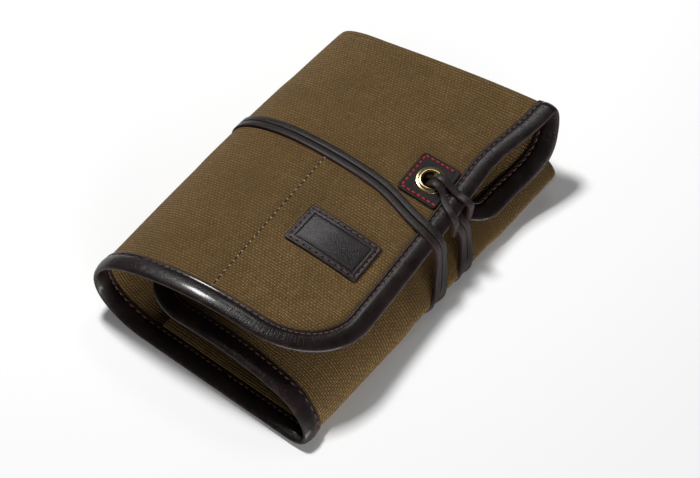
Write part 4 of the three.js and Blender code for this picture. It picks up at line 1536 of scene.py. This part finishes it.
    def build_divider(self) -> None:
        """The row of stitches that divides the flap's pockets, with a pale knot between each two."""
        edge = straight_edge(self.divider_start, self.divider_end, (1.0, 0.0))
        lift = self.half + self.divider_lift
        cloth = self.tailor.shape.cloth
        finishes = self.tailor.finishes
        knots = self.tailor.stitches(cloth, edge, 0.0, lift, self.divider_knots, 0.0)
        piece(knots, "knots_divider", finishes.pale_knot, [], Body.FLAP)
        cut = self.tailor.stitches(cloth, edge, 0.0, lift, self.divider_thread)
        piece(cut, "stitches_divider", finishes.dark_thread, [], Body.FLAP)

    def build(self) -> None:
        """Builds every canvas piece."""
        hem_back, hem_front = self.build_hems()
        self.build_flap_and_back()
        self.build_base_and_inner()
        self.build_dust_flap()
        self.build_plain_dust()
        self.build_pockets()
        self.build_divider()


@dataclass
class Bindings:
    """The leather bindings: folded strips that grip the cloth's edges, sewn near their inner edge."""

    tailor: Tailor
    leather: float = 1.2
    clearance: float = 0.4
    grip: float = 0.04
    rim: float = 2.4
    rim_worn: Wear = Wear(0.0, 1.8, 0.7)
    lip_worn: Wear = Wear(0.0, 0.5, 0.8)
    fold_step: float = 1.2
    stitch_inset: float = 9.4
    stitch_sink: float = 0.42
    style: Stitching = Stitching()

    def section(self, half: float) -> Array:
        """The strip's section: a flat with a groove for the stitches, a round rim and the slot for the cloth.

        Args:
            half: Half of the cloth's thickness.

        Returns:
            Inward distances and lifts.
        """
        inside = half + self.clearance
        outside = inside + self.leather
        width = self.tailor.shape.binding_width
        grip = half + self.grip
        lip = [(width, grip), (width, inside + 0.2), (width - 0.3, outside - 0.62),
               (width - 0.9, outside - 0.38)]
        groove = [(width - 1.5, outside - 0.36), (width - 2.1, outside - 0.5), (width - 2.6, outside - 0.58),
                  (width - 3.1, outside - 0.46), (width - 3.8, outside - 0.18)]
        crown = [(width - 4.8, outside + 0.06), (6.2, outside + 0.17), (5.0, outside + 0.2),
                 (3.7, outside + 0.14), (2.4, outside - 0.03), (0.9, outside - 0.36)]
        rim = [(-0.3, outside * 0.74), (-1.2, outside * 0.57), (-1.9, outside * 0.36), (-2.3, outside * 0.14),
               (-self.rim, 0.0)]
        upper = np.array(lip + groove + crown + rim)
        lower = upper[-2::-1] * np.array([1.0, -1.0])
        slot = np.array([(0.0, -grip), (-self.clearance, 0.0), (0.0, grip)])
        return np.concatenate([upper, lower, slot])

    def strip(self, surface: Surface, edge: EdgePath, thinning: Array) -> Cut:
        """The section carried along an edge, each loop laid over the surface.

        Args:
            surface: Surface that carries the edge.
            edge: The edge.
            thinning: At each stop, 0 for the cloth's thickness and 1 for the dust flap's.

        Returns:
            The strip in the row frame.
        """
        shape = self.tailor.shape
        thick = self.section(shape.canvas / 2)
        thin = self.section(shape.dust_canvas / 2)
        section = thick[None] + (thin - thick)[None] * thinning[:, None, None]
        inset = section[..., 0]
        seats = edge.places[:, None, :] + edge.inward[:, None, :] * section[..., :1]
        loops = shape.lifted(surface, seats[..., 0], seats[..., 1], section[..., 1])
        uv = np.stack(np.broadcast_arrays(edge.length[:, None], inset), axis=-1) * MM
        rim = self.rim_worn.at(np.maximum(inset + self.rim, 0.0))
        lip = self.lip_worn.at(inset - shape.binding_width)
        return tube(self.tailor.placement.place(loops), uv, {"wear": np.clip(rim + lip, 0, 1)})

    def bind(self, name: str, surface: Surface, edge: EdgePath, nodes: Sequence[str], carrier: Body | Bend,
             thinning: Array) -> None:
        """Builds one strip and the stitches on both of its faces.

        Args:
            name: Name of the bound edge.
            surface: Surface that carries the edge.
            edge: The edge.
            nodes: CAD nodes that the strip stands for.
            carrier: Body that carries it, or a bend, for which it is only baked in place.
            thinning: Share of the step from the cloth's thickness to the dust flap's, at each stop.
        """
        shape, finishes = self.tailor.shape, self.tailor.finishes
        strip = self.strip(surface, edge, thinning)
        piece(strip, "binding_" + name, finishes.binding, nodes, carrier)
        half = (shape.canvas + (shape.dust_canvas - shape.canvas) * float(thinning[-1])) / 2
        lift = half + self.clearance + self.leather - self.stitch_sink
        rows = self.tailor.stitches(surface, edge, self.stitch_inset, lift, self.style, sides=(1, -1))
        piece(rows, "stitches_" + name, finishes.brown_thread, [], carrier)

    def build_cloth_edges(self) -> None:
        """Binds the flap with the back fold, and the base with the front fold and the inner panel."""
        shape = self.tailor.shape
        far = shape.cloth_length - shape.dust_turn
        radius = shape.flap_corner
        flap = whole_edge(straight_edge((0.0, far), (0.0, radius), (1.0, 0.0)),
                          corner_edge((0.0, 0.0), (1.0, 1.0), radius, True),
                          straight_edge((radius, 0.0), (shape.base_middle, 0.0), (0.0, 1.0)))
        self.bind("flap_and_back", shape.cloth, flap, ["top_flap_binding", "back_fold_binding"], BACK_BEND,
                  np.zeros(len(flap.places)))
        radius = shape.inner_corner
        side = shape.cloth_run
        end = shape.base_length - shape.dust_turn
        fold = straight_edge((shape.base_end, 0.0), (shape.inner_start, 0.0), (0.0, 1.0), self.fold_step)
        inner = whole_edge(straight_edge((shape.base_middle, 0.0), (shape.base_end, 0.0), (0.0, 1.0)), fold,
                           straight_edge((shape.inner_start, 0.0), (side - radius, 0.0), (0.0, 1.0)),
                           corner_edge((side, 0.0), (-1.0, 1.0), radius, False),
                           straight_edge((side, radius), (side, end), (-1.0, 0.0)))
        nodes = ["base_end_binding", "front_fold_binding", "inner_panel_binding"]
        self.bind("base_and_inner", shape.cloth, inner, nodes, FRONT_BEND, np.zeros(len(inner.places)))

    def build_dust_edges(self) -> None:
        """Binds the dust flap under the flap, over the base and over the inner panel."""
        shape = self.tailor.shape
        depth, radius = shape.dust_depth, shape.dust_corner
        flap_end = shape.flap_run - shape.pocket_inset
        turned = straight_edge((0.0, -shape.dust_start), (0.0, depth - radius), (1.0, 0.0), self.fold_step)
        dust = whole_edge(turned, corner_edge((0.0, depth), (1.0, -1.0), radius, True),
                          straight_edge((radius, depth), (flap_end, depth), (0.0, -1.0)))
        thinning = smooth((dust.places[:, 1] + shape.dust_start) / (2 * shape.dust_start))
        nodes = ["far_fold_binding", "dust_flap_binding"]
        self.bind("dust_flap", shape.dust, dust, nodes, FAR_BEND, thinning)
        for name, reach, body in (("base_dust", shape.base_dust_reach, Body.BASE),
                                  ("inner_dust", shape.inner_dust_reach, Body.INNER)):
            edge = straight_edge((reach[0], depth), (reach[1], depth), (0.0, -1.0))
            self.bind(name, shape.plain_dust, edge, [name + "_binding"], body, np.ones(len(edge.places)))

    def build(self) -> None:
        """Builds every bound edge."""
        self.build_cloth_edges()
        self.build_dust_edges()


def ring_solid(rings: Array, uv: Array) -> Cut:
    """A solid like a ring: loops closed in both directions.

    Args:
        rings: Loops by points by 3; the last loop joins the first.
        uv: UV of each point.

    Returns:
        The solid.
    """
    count, sides = rings.shape[:2]
    index = np.arange(count * sides).reshape(count, sides)
    quads = ring_quads(index, np.roll(index, -1, 0))
    points = rings.reshape(-1, 3)
    faces = quads[:, ::-1] if inside_out(points, quads) else quads
    return Cut(points, faces.tolist(), uv.reshape(-1, 2), {"wear": np.zeros(len(points))})


def rounded_ring(half_width: float, half_height: float, radius: float, per_side: int = 14,
                 per_corner: int = 8) -> Array:
    """A rounded rectangle's outline: quarter circles at the corners joined by evenly divided sides.

    Args:
        half_width: Half of the width.
        half_height: Half of the height.
        radius: Corner radius.
        per_side: Points on each side.
        per_corner: Points on each corner.

    Returns:
        Points in two parameters, anticlockwise.
    """
    starts = np.arange(4) * math.pi / 2
    angle = starts[:, None] + np.linspace(0, math.pi / 2, per_corner)[None]
    signs = np.array([(1, 1), (-1, 1), (-1, -1), (1, -1)], float)
    middles = signs * np.array([half_width - radius, half_height - radius])
    arcs = middles[:, None, :] + radius * np.stack([np.cos(angle), np.sin(angle)], axis=-1)
    share = np.linspace(0, 1, per_side + 2)[1:-1, None]
    ends = arcs[:, -1]
    nexts = np.roll(arcs[:, 0], -1, 0)
    sides = ends[:, None, :] + (nexts - ends)[:, None, :] * share[None]
    return np.concatenate([arcs, sides], axis=1).reshape(-1, 2)


@dataclass
class Patches:
    """The label and the eyelet's patch: leather sewn to the flap, with painted shade of awl holes between the
    stitches as near-black solids.
    """

    tailor: Tailor
    low: float = 1.05
    high: float = 2.8
    label_at: Pair = (48.5, 84.8)
    label_size: Pair = (53.0, 32.0)
    label_inset: float = 2.4
    label_corner: float = 0.6
    label_step: float = 2.4
    rim_depth: float = 0.45
    rim_run: float = 0.22
    groove_depth: float = 0.2
    groove_run: float = 0.55
    border_at: float = 5.35
    border_depth: float = 0.28
    border_run: float = 0.28
    corner_pull: float = 0.9
    corner_run: float = 1.2
    rubbed_share: float = 0.5
    rubbed_run: float = 0.8
    label_style: Stitching = Stitching(4.7, 1.6, 0.46)
    label_sink: float = 0.12
    patch_at: Pair = (27.3, 160.5)
    patch_size: Pair = (30.0, 33.0)
    patch_corner: float = 3.2
    patch_inset: float = 2.6
    patch_style: Stitching = Stitching(3.9, 1.42, 0.5)
    patch_sink: float = 0.02
    open_inset: float = 0.6
    eyelet_clear: float = 6.5
    # The awl holes are painted shade: near-black capsules of this half length and radius, sunk this far.
    hole_shade_half: float = 0.7
    hole_shade_radius: float = 0.85
    hole_sink: float = 0.42

    def label_lines(self, size: float) -> tuple[Array, Array]:
        """Places across the label, close together near its rim, and their distances from the nearer rim.

        Args:
            size: Width or height.

        Returns:
            Places from the middle, and distances from the rim.
        """
        rim = np.array([0.0, 0.22, 0.6, 1.2, 1.8, 2.4, 3.0, 3.6, 4.6, 5.0, 5.35, 5.7, 6.1, 8.0])
        middle = spread(rim[-1], size - rim[-1], self.label_step)[1:-1]
        distance = np.concatenate([rim, middle, size - rim[::-1]])
        return distance - size / 2, np.minimum(distance, size - distance)

    def label_relief(self, inset: Array) -> Array:
        """The label's height: a rounded rim, a sewn groove and a pressed border line.

        Args:
            inset: Distance from the rim.

        Returns:
            Heights over the flat face.
        """
        rim = self.rim_depth * np.exp(-inset / self.rim_run)
        groove = self.groove_depth * np.exp(-(((inset - self.label_inset) / self.groove_run) ** 2))
        border = self.border_depth * np.exp(-(((inset - self.border_at) / self.border_run) ** 2))
        return -rim - groove - border

    def build_label(self) -> None:
        """The label: a sheet whose height is a function of the distance from its rim."""
        finishes = self.tailor.finishes
        across, from_side = self.label_lines(self.label_size[0])
        along, from_end = self.label_lines(self.label_size[1])
        runs, alongs = np.meshgrid(across, along, indexing="ij")
        sides, ends = np.meshgrid(from_side, from_end, indexing="ij")
        inset = np.minimum(sides, ends)
        round_off = self.corner_pull * np.exp(-(sides + ends) / self.corner_run)
        runs = runs - np.sign(runs) * round_off + self.label_at[0]
        alongs = alongs - np.sign(alongs) * round_off + self.label_at[1]
        rubbed = self.rubbed_share * np.exp(-inset / self.rubbed_run)
        cut = self.tailor.sheet(self.tailor.shape.cloth, runs, alongs, self.low,
                                self.high + self.label_relief(inset), rubbed)
        piece(cut, "label_patch_leather", finishes.label, ["label_patch"], Body.FLAP)
        half_width, half_height = (size / 2 - self.label_inset for size in self.label_size)
        outline = rounded_ring(half_width, half_height, self.label_corner)
        self.sew("label", np.concatenate([outline, outline[:1]]), self.label_at, self.high - self.label_sink,
                 self.label_style, finishes.brown_thread)

    def sew(self, name: str, outline: Array, middle: Pair, lift: float, style: Stitching,
            thread: Material) -> None:
        """Sews round an outline: stitches, and near-black solids between them that paint the shade of the awl
        holes.

        Args:
            name: Name of the sewn patch.
            outline: The stitch line, from the patch's middle.
            middle: The patch's middle.
            lift: Lift of the stitches from the cloth's middle surface.
            style: The stitches.
            thread: Their finish.
        """
        places = outline + np.array(middle)
        edge = EdgePath(places, np.tile(np.array([1.0, 0.0]), (len(places), 1)))
        total = edge.length[-1]
        pitch = total / round(total / style.pitch)
        fitted = Stitching(pitch, style.half_length, style.radius)
        cloth = self.tailor.shape.cloth
        sewn = self.tailor.stitches(cloth, edge, 0.0, lift, fitted)
        piece(sewn, "stitches_" + name, thread, [], Body.FLAP)
        # Painted shade: near-black capsules stand in for the awl holes' shade.
        hole = Stitching(pitch, self.hole_shade_half, self.hole_shade_radius)
        hole_shade = self.tailor.stitches(cloth, edge, 0.0, lift - self.hole_sink, hole, 0.0)
        piece(hole_shade, "hole_shades_" + name, self.tailor.finishes.shadow, [], Body.FLAP)

    def patch_rings(self) -> tuple[list[Array], list[float], list[float]]:
        """The eyelet patch's rings from its rounded outline to the eyelet's bore and back underneath.

        Returns:
            Rings about the patch's middle, their lifts and their distances from the outline.
        """
        low, high = self.low, self.high
        half_width, half_height = (size / 2 for size in self.patch_size)
        per_side, per_corner, least_corner = 14, 5, 0.8
        steps = [(0.0, low), (0.0, high - 0.35), (0.3, high - 0.08), (0.9, high), (1.7, high),
                 (self.patch_inset, high - 0.22), (3.5, high), (4.5, high)]
        rings = [rounded_ring(half_width - inset, half_height - inset,
                              max(self.patch_corner - 0.5 * inset, least_corner), per_side, per_corner)
                 for inset, _ in steps]
        offset = np.array(self.tailor.shape.eyelet_at) - np.array(self.patch_at)
        last = rings[-1]
        circle = offset + self.eyelet_clear * unit(last - offset)
        shares = (0.35, 0.7, 1.0)
        under = rings[0] * 0.6 + circle * 0.4
        rings += [last + (circle - last) * share for share in shares] + [circle, under]
        lifts = [lift for _, lift in steps] + [high] * len(shares) + [low, low]
        deepest = 6.0
        insets = [inset for inset, _ in steps] + [deepest] * (len(shares) + 2)
        return rings, lifts, insets

    def build_eyelet_patch(self) -> None:
        """The eyelet's patch: its rings laid over the flap and closed into a solid."""
        shape, finishes = self.tailor.shape, self.tailor.finishes
        rings, lifts, insets = self.patch_rings()
        places = np.stack(rings) + np.array(self.patch_at)
        heights, depths = (np.broadcast_to(np.array(row)[:, None], places.shape[:2])
                           for row in (lifts, insets))
        points = shape.lifted(shape.cloth, places[..., 0], places[..., 1], heights)
        uv = np.stack([places[..., 0], depths], axis=-1) * MM
        cut = ring_solid(self.tailor.placement.place(points), uv)
        piece(cut, "eyelet_patch_leather", finishes.patch, ["eyelet_patch"], Body.FLAP)
        side, end = (size / 2 - self.patch_inset for size in self.patch_size)
        bound = self.patch_size[0] / 2 - self.open_inset
        line = np.array([(-bound, -end), (side, -end), (side, end), (-bound, end)])
        self.sew("eyelet_patch", line, self.patch_at, self.high - self.patch_sink, self.patch_style,
                 finishes.red_thread)

    def build(self) -> None:
        """Builds both patches."""
        self.build_label()
        self.build_eyelet_patch()


@dataclass
class Eyelet:
    """The brass eyelet: a barrel with a domed flange on the patch, and a washer under the canvas."""

    tailor: Tailor
    outer: float = 10.0
    bore: float = 5.6
    barrel: float = 6.3
    seat: float = 2.85
    end: float = -2.8
    washer_outer: float = 9.0
    washer_bore: float = 6.6
    washer_low: float = -2.3
    washer_high: float = -1.1
    edge: float = 0.25
    sides: int = 96
    sharp_deg: float = 60.0

    def turned(self, profile: Array) -> Cut:
        """A closed profile turned about the eyelet's axis: radius times cosine and sine, and height.

        Args:
            profile: Radii and heights.

        Returns:
            The turned solid in the row frame.
        """
        shape = self.tailor.shape
        middle, normal = shape.frames(shape.cloth, *(np.array(place) for place in shape.eyelet_at))
        along = unit(np.cross(normal, np.array([1.0, 0.0, 0.0])))
        across = np.cross(along, normal)
        turn = np.arange(self.sides) * 2 * math.pi / self.sides
        ring = np.cos(turn)[:, None] * across + np.sin(turn)[:, None] * along
        points = middle + profile[:, None, :1] * ring[None] + profile[:, None, 1:] * normal
        uv = np.broadcast_to(profile[:, None, :] * MM, points.shape[:2] + (2,))
        return ring_solid(self.tailor.placement.place(points), uv)

    def barrel_profile(self) -> Array:
        """The barrel's profile: a flange whose dome is given as shares of its width and rises, then the tube.

        Returns:
            Radii and heights.
        """
        dome = np.array([(0.0, 0.0), (0.02, 0.7), (0.08, 1.15), (0.18, 1.48), (0.3, 1.58), (0.42, 1.48),
                         (0.54, 1.18), (0.62, 0.92), (0.7, 0.8), (0.84, 0.72), (0.94, 0.58), (1.0, 0.25)])
        flange = np.array([self.bore, self.seat]) + dome * np.array([self.outer - self.bore, 1.0])
        under = self.seat - 0.05
        tube_end = np.array([(self.outer - self.edge, under), (self.barrel, under),
                             (self.barrel, self.end + 0.2), (self.barrel - 0.3, self.end),
                             (self.bore, self.end)])
        return np.concatenate([flange, tube_end])

    def washer_profile(self) -> Array:
        """The washer's radii and heights: a flat ring with its lower edges cut off."""
        low, high, edge = self.washer_low, self.washer_high, self.edge
        return np.array([
            (self.washer_bore, low + edge), (self.washer_bore + edge, low), (self.washer_outer - edge, low),
            (self.washer_outer, low + edge), (self.washer_outer, high), (self.washer_bore, high)])

    def build(self) -> None:
        """Builds the barrel with its flange, and the washer."""
        brass = self.tailor.finishes.brass
        barrel = self.turned(self.barrel_profile())
        piece(barrel, "eyelet_barrel_brass", brass, ["eyelet_barrel"], Body.FLAP, self.sharp_deg)
        washer = self.turned(self.washer_profile())
        piece(washer, "eyelet_washer_brass", brass, ["eyelet_washer"], Body.FLAP)


@dataclass(frozen=True)
class LaceStop:
    """A stop of the doubled lace: place on the cloth, lift, half distance between strands and face."""

    run: float
    along: float
    lift: float
    apart: float
    face: Face = Face.OUT


@dataclass
class Lace:
    """The flat lace: doubled through the eyelet, wound twice round the roll, its ends tucked under it."""

    tailor: Tailor
    width: float = 4.4
    thickness: float = 2.4
    corner: float = 0.26
    spread: float = 2.6
    bight: float = 7.6
    step: float = 1.8
    pair_step: float = 0.9
    per_span: int = 16
    sharp_deg: float = 34.0
    lift: float = 2.45
    over: float = 3.95
    under: float = 4.8
    hitch_rows: float = 75.0
    hitch_passes: int = 8
    soft_passes: int = 110

    def route(self) -> list[LaceStop]:
        """The stops from the bight, through the eyelet and twice round the roll.

        Returns:
            The stops.
        """
        shape = self.tailor.shape
        hole, hitch = shape.eyelet_at
        bight, apart = self.bight, self.spread
        base, front, back = shape.base_run, shape.front_fold_run, shape.back_fold_run
        start, end, flap = shape.base_start, shape.base_end, shape.flap_run
        loop = [
            LaceStop(-5.6, hitch - 10, -15.6, 0.0, Face.REAR),
            LaceStop(-5.6, hitch - 10, -13.6, bight * 0.75, Face.REAR),
            LaceStop(-6.0, hitch - 10, -9.0, bight, Face.REAR),
            LaceStop(-5.8, hitch - 9, -2.0, bight, Face.REAR),
            LaceStop(-2.6, hitch - 7.5, 5.1, bight * 0.95, Face.IN),
            LaceStop(6.0, hitch - 5, self.over + 0.8, bight * 0.75, Face.IN),
            LaceStop(hole - 14.5, hitch - 2, self.over + 1.8, apart * 1.4, Face.IN),
            LaceStop(hole - 6, hitch - 0.5, 8.2, apart, Face.IN),
            LaceStop(hole - 0.6, hitch, 5.0, apart, Face.FRONT),
            LaceStop(hole + 0.6, hitch, 0.0, apart, Face.FRONT),
            LaceStop(hole - 0.6, hitch, -5.0, apart, Face.FRONT),
            LaceStop(hole - 6, hitch - 1, -8.2, apart),
            LaceStop(hole - 14.5, hitch - 3, -self.under - 1, apart),
            LaceStop(6.0, hitch - 7, -self.under, apart),
            LaceStop(-3.5, hitch - 9.5, -self.under - 1.4, apart),
            LaceStop(-9.5, hitch - 10, -12.0, apart, Face.FRONT),
            LaceStop(-11.0, hitch - 10, -22.0, apart, Face.FRONT)]
        fold_shares = ((0.5, 0.8), (0.4, 0.5), (0.3, 0.5), (0.2, 0.3), (0.08, 0.0))
        first_fold = [LaceStop(end + front * share, along, self.lift + more, apart)
                      for (share, more), along in zip(fold_shares, (162.5, 160.5, 158.0, 155.5, 152.5))]
        first_base = [LaceStop(end - base * 0.14, 150.0, self.lift, apart),
                      LaceStop(end - base * 0.52, 147.0, self.lift, apart),
                      LaceStop(start + base * 0.14, 145.5, self.lift, apart)]
        back_shares = (0.05, 0.21, 0.36, 0.5, 0.64, 0.81)
        over_back = [LaceStop(start - back * share, along, self.lift, apart)
                     for share, along in zip(back_shares, (144.5, 143.4, 143.0, 143.0, 143.0, 143.5))]
        over_flap = [
            LaceStop(flap * 0.985, 143.8, self.lift, apart), LaceStop(flap * 0.8, 142.8, self.lift, apart),
            LaceStop(flap * 0.57, 141.2, self.lift, apart), LaceStop(flap * 0.354, 138.6, self.lift, apart),
            LaceStop(flap * 0.2, 132.5, self.lift + 0.4, apart), LaceStop(16.0, 129.5, self.over, apart),
            LaceStop(4.0, 127.4, self.over, apart), LaceStop(-2.6, 126.4, self.over - 0.2, apart),
            LaceStop(-6.4, 126.0, -3.0, apart, Face.FRONT), LaceStop(-8.4, 125.5, -14.0, apart, Face.FRONT)]
        last_fold = [LaceStop(end + front * share, along, self.lift + more, apart)
                     for (share, more), along in zip(fold_shares, (135.0, 132.5, 129.5, 126.5, 122.5))]
        last_base = [LaceStop(end - base * 0.14, 119.5, self.lift, apart),
                     LaceStop(end - base * 0.45, 116.5, self.lift, apart),
                     LaceStop(end - base * 0.79, 117.0, self.lift, apart)]
        return loop + first_fold + first_base + over_back + over_flap + last_fold + last_base

    def faces(self, stops: Sequence[LaceStop], normals: Array) -> Array:
        """The way that the lace's flat face looks at each stop.

        Args:
            stops: The stops.
            normals: The cloth's outward normals there.

        Returns:
            Unit vectors.
        """
        front = np.broadcast_to(np.array([1.0, 0.0, 0.0]), normals.shape)
        ways = {Face.OUT: normals, Face.IN: -normals, Face.FRONT: front, Face.REAR: -front}
        kinds = np.array([list(Face).index(stop.face) for stop in stops])
        return np.stack([ways[face] for face in Face])[kinds, np.arange(len(stops))]

    @staticmethod
    def curve(points: Array, per_span: int, centripetal: bool) -> Array:
        """A Catmull-Rom curve: on each span a cubic with slopes from the neighbouring points.

        Args:
            points: The points that it goes through.
            per_span: Steps on each span.
            centripetal: Whether spans are timed by the square root of their length.

        Returns:
            Points on the curve.
        """
        before = np.concatenate([2 * points[:1] - points[1:2], points[:-1]])[:-1]
        after = np.concatenate([points[2:], 2 * points[-1:] - points[-2:-1]])
        first, last = points[:-1], points[1:]
        if centripetal:
            times = [np.sqrt(np.linalg.norm(b - a, axis=1))[:, None]
                     for a, b in ((before, first), (first, last), (last, after))]
            t0, t1, t2 = [np.maximum(time, TINY) for time in times]
        else:
            t0 = t1 = t2 = np.ones((len(first), 1))
        leave = ((first - before) / t0 - (last - before) / (t0 + t1) + (last - first) / t1) * t1
        reach = ((last - first) / t1 - (after - first) / (t1 + t2) + (after - last) / t2) * t1
        share = (np.arange(per_span) / per_span)[None, :, None]
        square = -3 * first + 3 * last - 2 * leave - reach
        cube = 2 * first - 2 * last + leave + reach
        straight = first[:, None] + leave[:, None] * share
        spans = straight + square[:, None] * share**2 + cube[:, None] * share**3
        return np.concatenate([spans.reshape(-1, points.shape[1]), points[-1:]])

    @staticmethod
    def even(line: Array, step: float) -> Array:
        """A line's rows taken again at even distances along its first three columns."""
        length = walked(line[:, :3])
        return taken_at(line, length, spread(0.0, float(length[-1]), step))

    def line(self) -> tuple[Array, Array]:
        """The whole lace's middle line and faces, from one tucked end through the bight to the other.

        Returns:
            Places and unit faces.
        """
        stops = self.route()
        runs, alongs, lifts, aparts = (np.array([getattr(stop, name) for stop in stops])
                                       for name in ("run", "along", "lift", "apart"))
        shape = self.tailor.shape
        points, normals = shape.frames(shape.cloth, runs, alongs)
        places = self.curve(points + normals * lifts[:, None], self.per_span, True)
        faces = self.curve(self.faces(stops, normals), self.per_span, False)
        apart = np.interp(np.linspace(0, len(stops) - 1, len(places)), np.arange(len(stops)), aparts)
        pair = self.even(np.concatenate([places, faces, apart[:, None]], axis=1), self.pair_step)
        face = unit(pair[:, 3:6])
        across = unit(np.cross(np.gradient(pair[:, :3], axis=0), face)) * pair[:, 6:]
        strands = [np.concatenate([pair[:, :3] + side * across, face], axis=1) for side in (1, -1)]
        whole = np.concatenate([strands[0][:0:-1], strands[1]])
        from_bight = np.abs(np.arange(len(whole)) - len(whole) / 2)[1:-1, None]
        eased = smooth((from_bight - self.hitch_rows) / self.hitch_rows)
        for turn in range(self.soft_passes):
            middle = (whole[:-2] + 2 * whole[1:-1] + whole[2:]) / 4
            share = 1.0 if turn < self.hitch_passes else eased
            whole[1:-1] += share * (middle - whole[1:-1])
        whole = self.even(whole, self.step)
        return whole[:, :3], unit(whole[:, 3:])

    def section(self) -> tuple[Array, Array]:
        """The lace's section, a rectangle with small round corners, and a mark on its raw narrow sides.

        Returns:
            Places across and up, and marks.
        """
        wide, high, corner = self.width / 2, self.thickness / 2, self.corner
        shoulder = 0.3 * corner
        quarter = np.array([(wide, 0.0), (wide, high - corner), (wide - shoulder, high - shoulder),
                            (wide - corner, high)])
        mark = np.array([1.0, 1.0, 0.6, 0.0])
        middle = np.array([(0.0, high)])
        mirror_x, mirror_y = np.array([-1.0, 1.0]), np.array([1.0, -1.0])
        top = np.concatenate([quarter, middle, quarter[::-1] * mirror_x])
        marks = np.concatenate([mark, [0.0], mark[::-1]])
        bottom = top[::-1] * mirror_y
        return np.concatenate([top, bottom[1:-1]]), np.concatenate([marks, marks[1:-1]])

    def build(self) -> None:
        places, faces = self.line()
        way = unit(np.gradient(places, axis=0))
        across = unit(np.cross(way, faces))
        upright = np.cross(across, way)
        section, marks = self.section()
        sideways = section[None, :, :1] * across[:, None]
        loops = places[:, None] + sideways + section[None, :, 1:] * upright[:, None]
        length = walked(places)
        uv = np.stack(np.broadcast_arrays(length[:, None], section[None, :, 0]), axis=-1) * MM
        raw = np.broadcast_to(marks[None], loops.shape[:2])
        cut = tube(self.tailor.placement.place(loops), uv, {"raw_edge": raw})
        obj = piece(cut, "lace", self.tailor.finishes.lace, ["tie_lace"], Body.FLAP,
                    self.sharp_deg)
        path = self.tailor.placement.place(places)
        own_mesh(obj)
        LOG.info("lace length %.0f mm", length[-1])


@dataclass(frozen=True)
class Softbox:
    """An oblong light that looks at the roll: its name, place, width with height, and power."""

    name: str
    place: Point
    size: Pair
    watts: float

    def build(self, target: Point) -> None:
        """Hangs the light and turns it to the target.

        Args:
            target: Where it looks.
        """
        light = bpy.data.lights.new(self.name, "AREA")
        light.shape = "RECTANGLE"
        light.size, light.size_y = self.size
        light.energy = self.watts
        box = bpy.data.objects.new(self.name, light)
        box.location = self.place
        box.rotation_euler = (Vector(target) - Vector(self.place)).to_track_quat("-Z", "Y").to_euler()
        bpy.context.scene.collection.objects.link(box)


@dataclass(frozen=True)
class Studio:
    """The photograph's view: a long lens from above, soft light from the back left and a white floor."""

    azimuth: float = 37.6
    elevation: float = 54.8
    distance: float = 3.0
    lens: float = 246.9
    sensor: float = 36.0
    clip_end: float = 20.0
    target: Point = (0.02360, -0.01086, 0.030)
    softboxes: tuple[Softbox, ...] = (
        Softbox("key", (-0.682, 0.278, 1.4415), (0.28, 0.28), 24.5),
        Softbox("back", (-0.33, 0.86, 1.32), (0.36, 0.26), 1.55),
        Softbox("front", (1.40, -0.86, 0.21), (2.2, 0.36), 34.0),
    )
    floor_half: float = 6.0
    surround: float = 0.06

    def build_camera(self) -> None:
        """Places the camera: back from the target along the view's direction."""
        turn, rise = math.radians(self.azimuth), math.radians(self.elevation)
        back = Vector((math.sin(turn) * math.cos(rise), -math.cos(turn) * math.cos(rise), math.sin(rise)))
        lens = bpy.data.cameras.new("camera")
        lens.lens = self.lens
        lens.sensor_width = self.sensor
        lens.clip_end = self.clip_end
        camera = bpy.data.objects.new("camera", lens)
        camera.location = Vector(self.target) + back * self.distance
        camera.rotation_euler = (-back).to_track_quat("-Z", "Y").to_euler()
        bpy.context.scene.collection.objects.link(camera)
        bpy.context.scene.camera = camera
        LOG.info("camera at %s", tuple(round(c, 3) for c in camera.location))

    def build_floor(self) -> None:
        """A white floor: one large square at the table's height."""
        half = self.floor_half
        corners = [(-half, -half, 0), (half, -half, 0), (half, half, 0), (-half, half, 0)]
        mesh = bpy.data.meshes.new("floor")
        mesh.from_pydata(corners, [], [(0, 1, 2, 3)])
        mesh.materials.append(FloorFinish("floor_white").build())
        floor = bpy.data.objects.new("floor", mesh)
        bpy.context.scene.collection.objects.link(floor)

    def build_world(self) -> None:
        """A plain surround that fills the shadows."""
        world = bpy.data.worlds.new("surround")
        world.use_nodes = True
        nodes = NodeTree(world.node_tree)
        soft = nodes.add("ShaderNodeBackground", {"Color": (1.0, 1.0, 1.0), "Strength": self.surround})
        nodes.add("ShaderNodeOutputWorld", {"Surface": soft.outputs[0]})
        bpy.context.scene.world = world

    def build(self) -> None:
        """Builds the lights, floor and surround."""
        for softbox in self.softboxes:
            softbox.build(self.target)
        self.build_floor()
        self.build_world()
        bpy.context.scene.view_settings.view_transform = "Standard"


def main() -> None:
    """Builds the view, then the lace, the cloth, its edges and its fittings."""
    logging.basicConfig(level=logging.INFO, format="%(message)s")
    studio = Studio()
    studio.build_camera()
    shape = RollShape()
    tailor = Tailor(shape, Placement.from_frame(shape), Finishes())
    Lace(tailor).build()
    Canvas(tailor).build()
    Bindings(tailor).build()
    Patches(tailor).build()
    Eyelet(tailor).build()
    studio.build()


if __name__ == "__main__":
    main()
